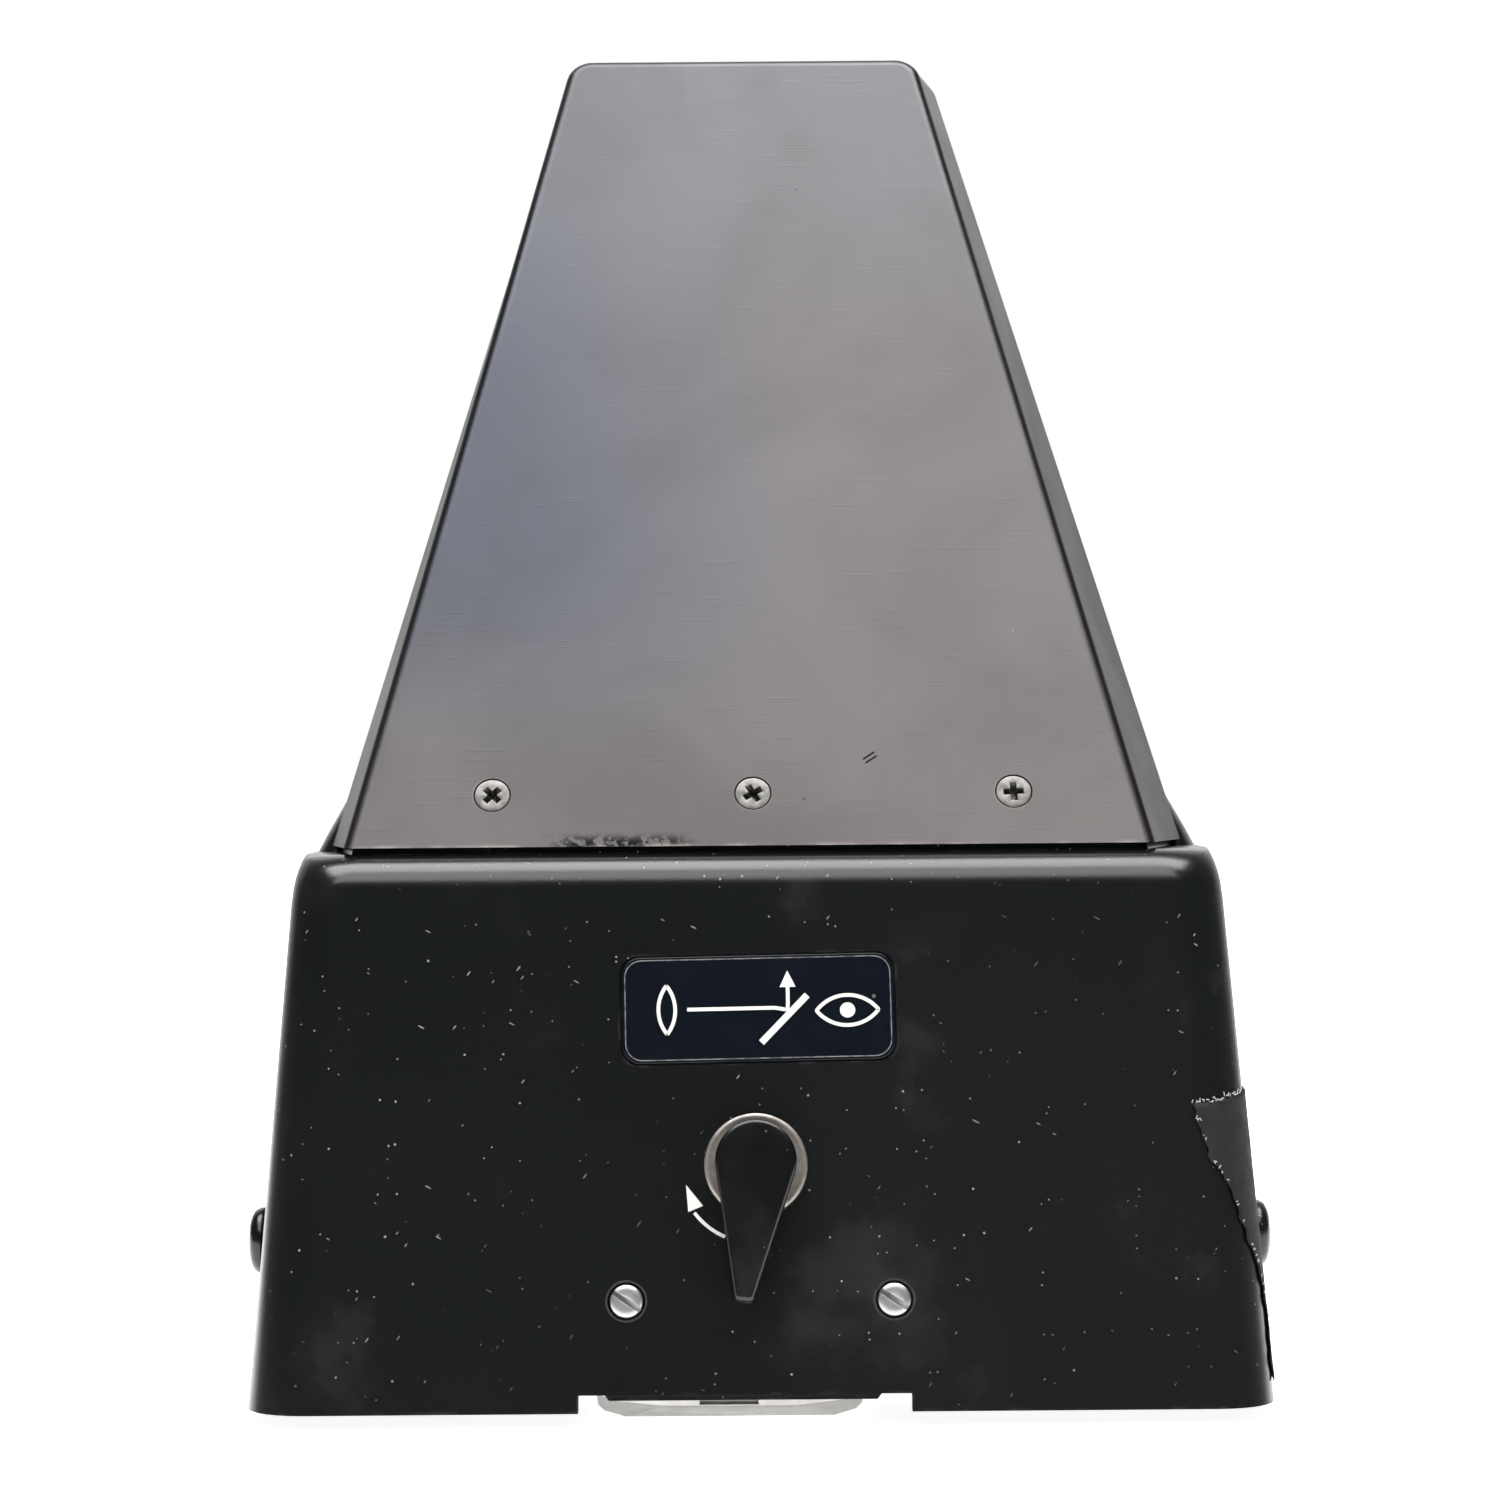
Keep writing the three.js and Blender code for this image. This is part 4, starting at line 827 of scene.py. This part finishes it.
def tape_fringe():
    """Loose pale threads along the torn top and left edges."""
    curve = bpy.data.curves.new("tape_threads", "CURVE")
    curve.dimensions = "3D"
    curve.bevel_depth = 0.07 * MM
    curve.bevel_resolution = 1
    starts = []
    for i in range(26):
        across = 64.6 + 9.5 * i / 26 + random.uniform(-0.2, 0.2)
        starts.append((across, 46.4 + 1.3 * min(1.0, (across - 64.4) / 9.5) + random.uniform(-0.3, 0.2)))
    for i in range(34):
        z = random.uniform(8, 45)
        starts.append((edge_at(z) + 0.1, z))
    for across, z in starts:
        spline = curve.splines.new("POLY")
        spline.points.add(3)
        heading = random.uniform(-0.5, 1.9)
        length = random.uniform(0.3, 1.0)
        for step, point in enumerate(spline.points):
            share = step / 3
            bend = heading + share * random.uniform(-0.6, 0.6)
            sideways = across + share * length * math.cos(bend) * 0.6
            upwards = z + share * length * math.sin(bend) * 0.7
            point.co = (*(skirt_point(sideways, upwards, 0.36 + 0.1 * share) * MM), 1)
    obj = bpy.data.objects.new("tape_threads", curve)
    bpy.context.scene.collection.objects.link(obj)
    curve.materials.append(EXTRA["thread"])
    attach(obj, "hood")


# ------------------------------------------------------------------ eyepiece and springs
def knurl(angle, radius):
    """Grip ribs on the focusing ring's widest part."""
    return 0.35 * (math.cos(54 * angle) - 1) if radius > 21.4 else 0.0


def focusing_ring(seat):
    profile = [[18.3, 5.4], [18.5, 5.2], [20.7, 5.2], [21.1, 5.6], [21.6, 6.2], [21.6, 9.7], [21.6, 13.2],
               [21.1, 13.8], [20.6, 14.2], [18.5, 14.2], [18.3, 14.0]]
    mesh = mesh_from("ribbed_focusing_ring", lathe(profile, 432, knurl), 40)
    piece("ribbed_focusing_ring", mesh, seat, "focus", "housing_black", None, ["focusing_ring"])


def barrel_angles():
    return [math.radians(degrees) for degrees in (90, 210, 330)]


def barrel(seat):
    profile = [[15.4, 0.3], [23, 0.3], [23, 2.4], [22.8, 2.8], [22.3, 3.1], [21.8, 3.2], [18.3, 3.2],
               [18, 3.5], [18, 14.8], [17.8, 15], [15.6, 15], [15.4, 14.8]]
    holes = []
    for angle in barrel_angles():
        hole = lathe([[0, -1], [1.8, -1], [1.8, 6], [0, 6]], 40)
        shift = BARREL_SCREWS * Vector((math.cos(angle), math.sin(angle), 0))
        bmesh.ops.translate(hole, verts=hole.verts, vec=shift)
        holes.append(hole)
    mesh = carved("barrel_flange", lathe(profile, 128), holes, 0.08)
    piece("barrel_flange", mesh, seat, "hood", "housing_black", None, ["eyepiece_barrel"])


def lens_tube(seat):
    profile = [[12.9, 1], [15, 1], [15, 23.7], [14.7, 24], [11.2, 24], [10.8, 23.6], [10.8, 22.4],
               [12.9, 22.4]]
    mesh = mesh_from("turned_lens_tube", lathe(profile, 96))
    piece("turned_lens_tube", mesh, seat, "lens_unit", "housing_black", None, ["lens_tube"])


def eyecup(seat):
    profile = [[17.9, 17], [17.9, 20], [17.7, 20.4], [17.9, 20.8], [17.9, 24], [18.2, 25.3], [18.8, 26.5],
               [19.6, 28.6], [20.2, 30], [20.6, 31.5], [20.9, 33.5], [21, 34.8], [20.8, 35.3], [20.3, 35.6],
               [19.8, 35.4], [19.5, 34.8], [18.9, 32.5], [18.1, 29.8], [17.2, 27], [16.2, 25.5],
               [15.3, 24.4], [15.3, 17]]
    mesh = mesh_from("soft_eyecup", lathe(profile, 96), 60)
    piece("soft_eyecup", mesh, seat, "lens_unit", "rubber", None, ["eyecup"])


def lens(seat, name, low, bulge):
    """A lens with two curved faces over a straight rim."""
    reach, rim = 12.6, 1.6
    radii = [reach * i / 10 for i in range(11)]
    under = [[r, low - bulge * (1 - (r / reach) ** 2)] for r in radii]
    over = [[r, low + rim + bulge * (1 - (r / reach) ** 2)] for r in reversed(radii)]
    mesh = mesh_from(f"{name}_ground", lathe(under + over, 96), 40)
    piece(f"{name}_ground", mesh, seat, "lens_unit", "glass", None, [name])


def eyepiece():
    seat = on(EYE, 0, 0, SEAT)
    focusing_ring(seat)
    barrel(seat)
    lens_tube(seat)
    eyecup(seat)
    lens(seat, "inner_lens", 4.5, 2.0)
    lens(seat, "eye_lens", 19.6, 1.8)


def round_head(name, place, body, top, radius, shank, length, node, slot_width=0.45):
    """A slotted cheese-head screw with its seat at z 0 and its head above, in mm."""
    profile = [[0, -length], [shank, -length + 0.4], [shank, 0.0], [radius, 0.0], [radius, top * 0.55],
               [radius * 0.93, top * 0.82], [radius * 0.75, top], [0, top]]
    mesh = carved(name, lathe(profile, 56), [bar(3 * radius, slot_width, top * 0.45, top + 1)], 0.04)
    piece(name, mesh, place, body, "screw_steel", None, [node])


def rear_screws():
    for i, (x, y) in enumerate(REAR_SCREWS, 1):
        place = on(EYE, x * MM, y * MM, SEAT + 0.3 * MM, math.radians(37 * i))
        round_head(f"rear_screw_{i}_slotted", place, "hood", 1.4, 2.3, 1.1, 5.3, f"rear_screw_{i}")
    for i, angle in enumerate(barrel_angles(), 1):
        x, y = BARREL_SCREWS * math.cos(angle), BARREL_SCREWS * math.sin(angle)
        place = on(EYE, x, y, SEAT + 3.5 * MM, math.radians(51 * i))
        name = f"barrel_screw_{i}"
        round_head(f"{name}_slotted", place, "hood", 1.2, 1.7, 0.9, 5.9, name, 0.4)


def coil(bottom, top, turns=7.0, radius=2.2, wire=0.36, steps=200, sides=10):
    """A round-wire coil with closed ends, in mm."""
    bm = bmesh.new()
    rings = []
    for step in range(steps + 1):
        share = step / steps
        eased = min(1.0, max(0.0, (share - 0.08) / 0.84))
        angle = 2 * math.pi * turns * share
        out = Vector((math.cos(angle), math.sin(angle), 0))
        centre = radius * out + Vector((0, 0, bottom + (top - bottom) * eased))
        ring = []
        for k in range(sides):
            a = 2 * math.pi * k / sides
            around = out * math.cos(a) + Vector((0, 0, math.sin(a)))
            ring.append(bm.verts.new((centre + wire * around) * MM))
        rings.append(ring)
    for a, b in zip(rings, rings[1:]):
        for k in range(sides):
            bm.faces.new((a[k], a[(k + 1) % sides], b[(k + 1) % sides], b[k]))
    bm.faces.new(reversed(rings[0]))
    bm.faces.new(rings[-1])
    return bm


def springs():
    """Two coils in place of the latch springs."""
    travel, wire = 3 * MM, 0.36
    for side in ("left", "right"):
        node = f"latch_spring_{side}"
        low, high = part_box(node)
        x, y = (low.x + high.x) / 2, (low.y + high.y) / 2
        mesh = mesh_from(f"coil_spring_{side}", coil(low.z / MM + wire, high.z / MM - wire, wire=wire), 60)
        place = Matrix.Translation((x, y, 0))
        obj = piece(f"coil_spring_{side}", mesh, place, "hood", "steel", None, [node])
        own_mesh(obj)


# ------------------------------------------------------------------ stage, light, camera
def softbox(name, place, aim, size, power, colour=(1, 1, 1)):
    data = bpy.data.lights.new(name, "AREA")
    data.shape = "RECTANGLE"
    data.size, data.size_y = size
    data.energy = power
    data.color = colour
    obj = bpy.data.objects.new(name, data)
    obj.location = place
    obj.rotation_euler = (Vector(aim) - Vector(place)).to_track_quat("-Z", "Y").to_euler()
    obj.visible_camera = False
    bpy.context.scene.collection.objects.link(obj)


def world():
    """White to the eye. As a light it is bright straight behind the object and dim elsewhere."""
    made = bpy.data.worlds.new("studio")
    made.use_nodes = True
    tree = made.node_tree
    tree.nodes.clear()
    out = tree.nodes.new("ShaderNodeOutputWorld")
    rays = tree.nodes.new("ShaderNodeLightPath")
    seen = tree.nodes.new("ShaderNodeBackground")
    lit = tree.nodes.new("ShaderNodeBackground")
    blend = tree.nodes.new("ShaderNodeMixShader")
    place = tree.nodes.new("ShaderNodeTexCoord")
    split = tree.nodes.new("ShaderNodeSeparateXYZ")
    behind = tree.nodes.new("ShaderNodeMapRange")
    tree.links.new(place.outputs["Generated"], split.inputs[0])
    tree.links.new(split.outputs["Y"], behind.inputs["Value"])
    behind.inputs["From Min"].default_value = 0.5
    behind.inputs["From Max"].default_value = 0.92
    behind.inputs["To Min"].default_value = 0.06
    behind.inputs["To Max"].default_value = 1.0
    tree.links.new(behind.outputs["Result"], lit.inputs["Strength"])
    tree.links.new(rays.outputs["Is Camera Ray"], blend.inputs[0])
    tree.links.new(lit.outputs[0], blend.inputs[1])
    tree.links.new(seen.outputs[0], blend.inputs[2])
    tree.links.new(blend.outputs[0], out.inputs["Surface"])
    seen.inputs["Color"].default_value = (1, 1, 1, 1)
    seen.inputs["Strength"].default_value = 1.0
    lit.inputs["Color"].default_value = (1, 1, 1, 1)
    bpy.context.scene.world = made


def stage():
    bm = bmesh.new()
    bmesh.ops.create_grid(bm, x_segments=8, y_segments=8, size=12.0)
    floor = bpy.data.objects.new("floor", mesh_from("floor", bm))
    floor.data.materials.append(floor_white())
    bpy.context.scene.collection.objects.link(floor)
    softbox("key_front", (-0.1, -1.15, 1.75), (0, 0, 0.15), (1.9, 0.9), 27, (1.0, 0.99, 0.98))
    softbox("overhead", (0, -0.1, 1.95), (0, 0, 0), (2.4, 1.1), 82)
    softbox("rear_fill", (0, 1.9, 1.1), (0, 0, 0.12), (1.8, 1.2), 5)
    world()


def camera():
    data = bpy.data.cameras.new("camera")
    data.lens = 98.1
    data.sensor_width = 36
    obj = bpy.data.objects.new("camera", data)
    obj.location = (-0.0009, -0.6784, 0.0995)
    obj.rotation_euler = (math.pi / 2, math.radians(0.45), 0)
    bpy.context.scene.collection.objects.link(obj)
    bpy.context.scene.camera = obj


bpy.context.scene.view_settings.view_transform = "Standard"
camera()
stage()
dress_cad()
lever()
bush()
cover_screws()
guide_screws()
direction_arrow()
name_plate_print()
tape()
eyepiece()
rear_screws()
springs()
